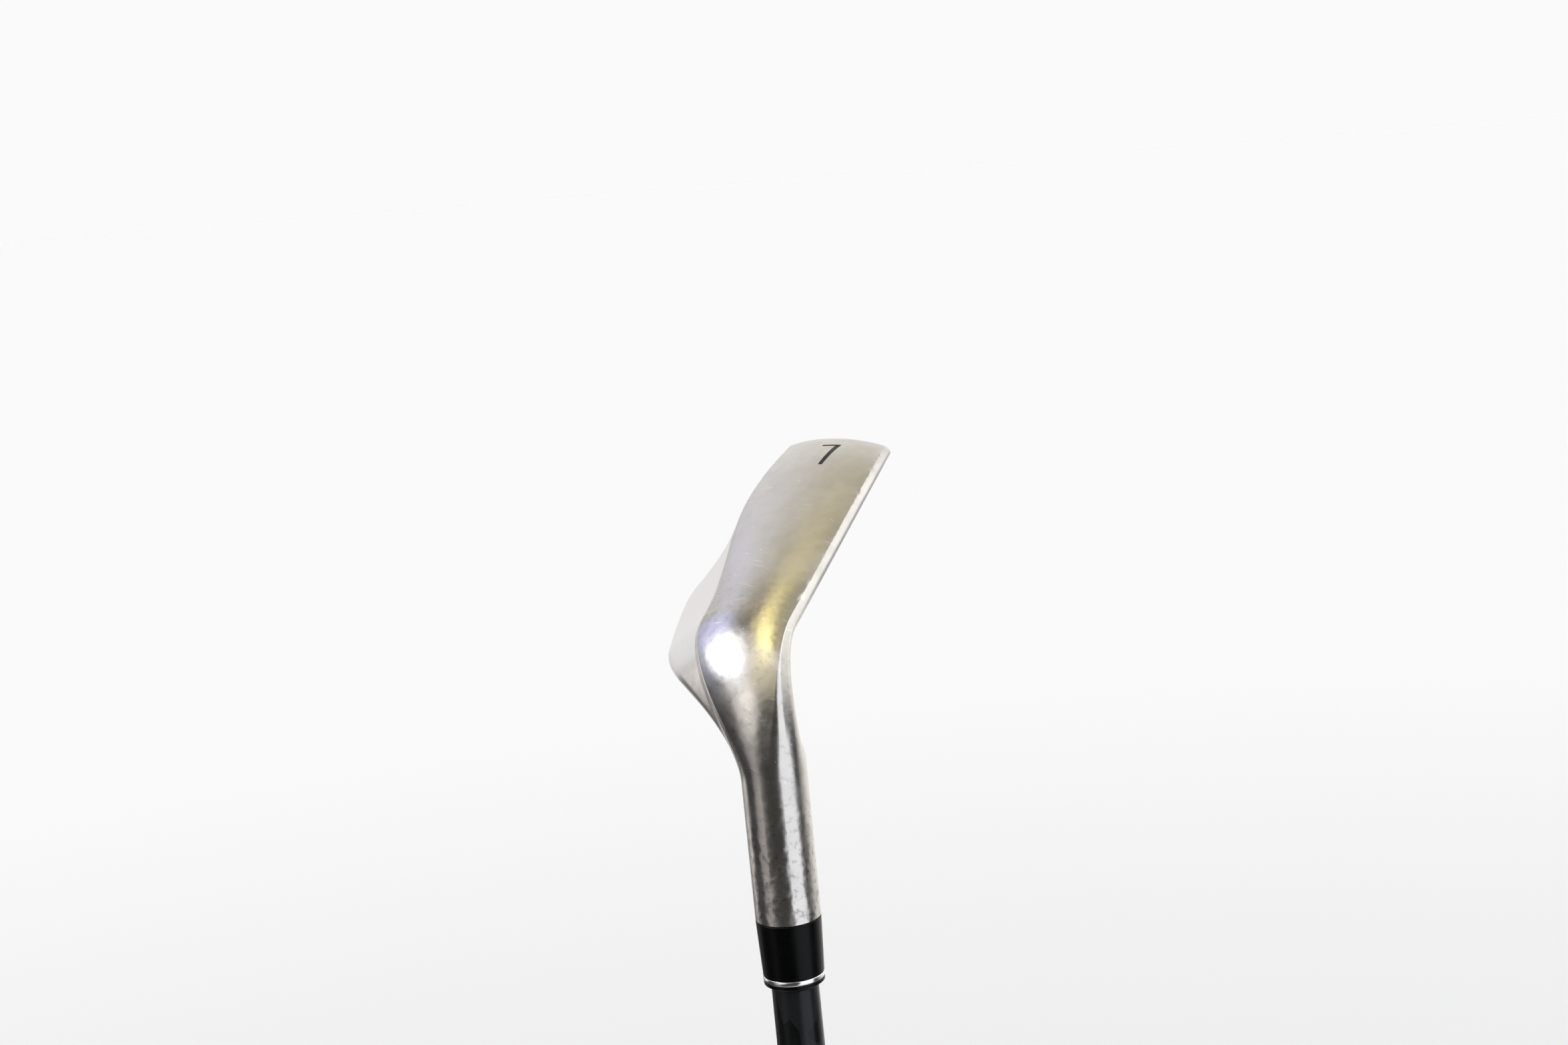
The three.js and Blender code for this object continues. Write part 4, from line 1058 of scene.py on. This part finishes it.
# Soft lamps: azimuth, elevation, angles from the middle to the end of the full and of the fading part,
# colour and strength.
LAMPS = {
    "key": (-147, 42, 2, 22, (0.93, 0.94, 1.0), 4.2),
    "key_halo": (-136, 54, 8, 22, (0.97, 0.97, 1.0), 0.7),
    "key_glow": (174, 41, 4, 20, (0.58, 0.61, 1.0), 1.2),
    "key_foot": (-168, 20, 8, 24, (0.72, 0.75, 1.0), 0.4),
    "left_wall": (168, -2, 6, 24, (1.0, 0.96, 0.95), 1.1),
    "over_heel": (-94, 46, 8, 24, (1.0, 0.92, 0.70), 0.8),
    "warm": (-112, 77, 3, 9, (1.0, 0.85, 0.36), 3.3),
    "warm_middle": (-170, 83, 3, 9, (1.0, 0.85, 0.36), 2.0),
    "warm_low": (-101, 64, 3, 11, (1.0, 0.88, 0.48), 1.0),
    "warm_high": (134, 76, 3, 8, (1.0, 0.85, 0.36), 1.7),
    "warm_glow": (60, 85, 5, 14, (1.0, 0.90, 0.60), 0.4),
    "neck": (-114, 27, 4, 15, (1.0, 0.97, 0.95), 0.8),
    "side_wall": (-112, 9, 11, 24, (1.0, 0.95, 0.92), 1.0),
    "low_wall": (-127, -16, 8, 18, (1.0, 0.94, 0.92), 0.38),
    "front_fill": (35, 30, 15, 40, (1.0, 0.99, 0.97), 0.8),
    "ground": (0, -90, 22, 50, (1.0, 0.99, 0.97), 0.7),
}
# An upright strip light: angles from its middle plane, and the heights of its ends and of their fading.
STRIP = Sizes(azimuth=-17, inner=20, outer=31, low=-50, high=60, end=20,
              colour=(0.92, 0.94, 1.0), strength=1.35)
# A dark patch, and a backdrop that is bright on the side it faces and dark on the other.
SHADE = Sizes(azimuth=103, elevation=70, inner=8, outer=26, darkest=0.24)
BACKDROP = Sizes(azimuth=92, elevation=20, start=0.24, end=0.86, dark=0.06, bright=1.1)
BACKDROP_TONE = Sizes(start=0.70, end=0.90, low=(1.0, 0.975, 0.94), top=(1.0, 0.90, 0.70))
PALE = (0.955, 0.955, 0.955)
SUN = Sizes(strength=0.3, angle=60)
# The floor's colour is a painted shading gradient: darker round the club and lighter far away, where it
# meets the surround unseen.
FLOOR = Sizes(half=30, near=1500, far=3800, near_colour=(0.686, 0.703, 0.728),
              far_colour=(0.771, 0.789, 0.816))


def make_world():
    """Soft lamps and a bright backdrop as reflections see them, and a plain pale surround in view."""
    world = bpy.data.worlds.new("studio")
    bpy.context.scene.world = world
    world.use_nodes = True
    nodes = Nodes(world.node_tree)
    vector, product, fade = nodes.vector, nodes.product, nodes.fade
    out = vector("NORMALIZE", nodes.node("TexCoord").outputs["Generated"])

    def towards(azimuth, elevation):
        return vector("DOT_PRODUCT", out, tuple(direction(azimuth, elevation)))

    back = towards(BACKDROP.azimuth, BACKDROP.elevation)
    level = fade(back, BACKDROP.start, BACKDROP.end, BACKDROP.dark, BACKDROP.bright)
    shade = fade(towards(SHADE.azimuth, SHADE.elevation), cosine(SHADE.outer),
                       cosine(SHADE.inner), 1.0, SHADE.darkest)
    height = towards(0, 90)
    overhead = fade(height, BACKDROP_TONE.start, BACKDROP_TONE.end)
    tone = nodes.blend(overhead, BACKDROP_TONE.low, BACKDROP_TONE.top)
    light = vector("SCALE", tone, Scale=product(level, shade))
    for azimuth, elevation, inner, outer, colour, strength in LAMPS.values():
        glow = fade(towards(azimuth, elevation), cosine(outer), cosine(inner), 0, strength)
        light = vector("ADD", light, vector("SCALE", colour, Scale=glow))
    sideways = nodes.math("ABSOLUTE", towards(STRIP.azimuth + 90, 0))
    across = fade(sideways, sine(STRIP.outer), sine(STRIP.inner))
    above = fade(height, sine(STRIP.low), sine(STRIP.low + STRIP.end))
    below = fade(height, sine(STRIP.high + STRIP.end), sine(STRIP.high))
    front = nodes.math("GREATER_THAN", towards(STRIP.azimuth, 0), 0.0)
    strip = product(product(product(across, front), product(above, below)), STRIP.strength)
    light = vector("ADD", light, vector("SCALE", STRIP.colour, Scale=strip))

    lit = nodes.tree.nodes["Background"]
    nodes.feed(lit.inputs["Color"], light)
    seen = nodes.node("Background", {"Color": (*PALE, 1)})
    view = nodes.node("LightPath").outputs["Is Camera Ray"]
    both = nodes.node("MixShader", {0: view, 1: lit.outputs[0], 2: seen.outputs[0]})
    nodes.feed(nodes.tree.nodes["World Output"].inputs["Surface"], both.outputs[0])


def make_studio():
    bpy.context.scene.view_settings.view_transform = "Standard"
    make_world()
    half = FLOOR.half
    corners = [(-half, -half, 0), (half, -half, 0), (half, half, 0), (-half, half, 0)]
    floor = new_object("floor", corners, [(0, 1, 2, 3)])
    shader = Shader("floor", roughness=0.9, specular_ior_level=0.0)
    # Painted shade: the floor's colour darkens towards the club and lightens with distance.
    far = shader.fade(shader.vector("LENGTH", shader.point), FLOOR.near, FLOOR.far)
    shader.set("Base Color", shader.blend(far, FLOOR.near_colour, FLOOR.far_colour))
    floor.data.materials.append(shader.material)
    floor.visible_glossy = False
    data = bpy.data.lights.new("overhead", "SUN")
    data.energy = SUN.strength
    data.angle = math.radians(SUN.angle)
    sun = bpy.data.objects.new("overhead", data)
    sun.visible_glossy = False
    bpy.context.scene.collection.objects.link(sun)


# ---- assembly

make_head()
make_badge()
make_shaft()
make_ferrule()
make_grip()
for kept, dress in KEPT_NODES.items():
    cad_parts[kept].data.materials.clear()
    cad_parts[kept].data.materials.append(MATERIALS[dress])
make_studio()
make_camera()
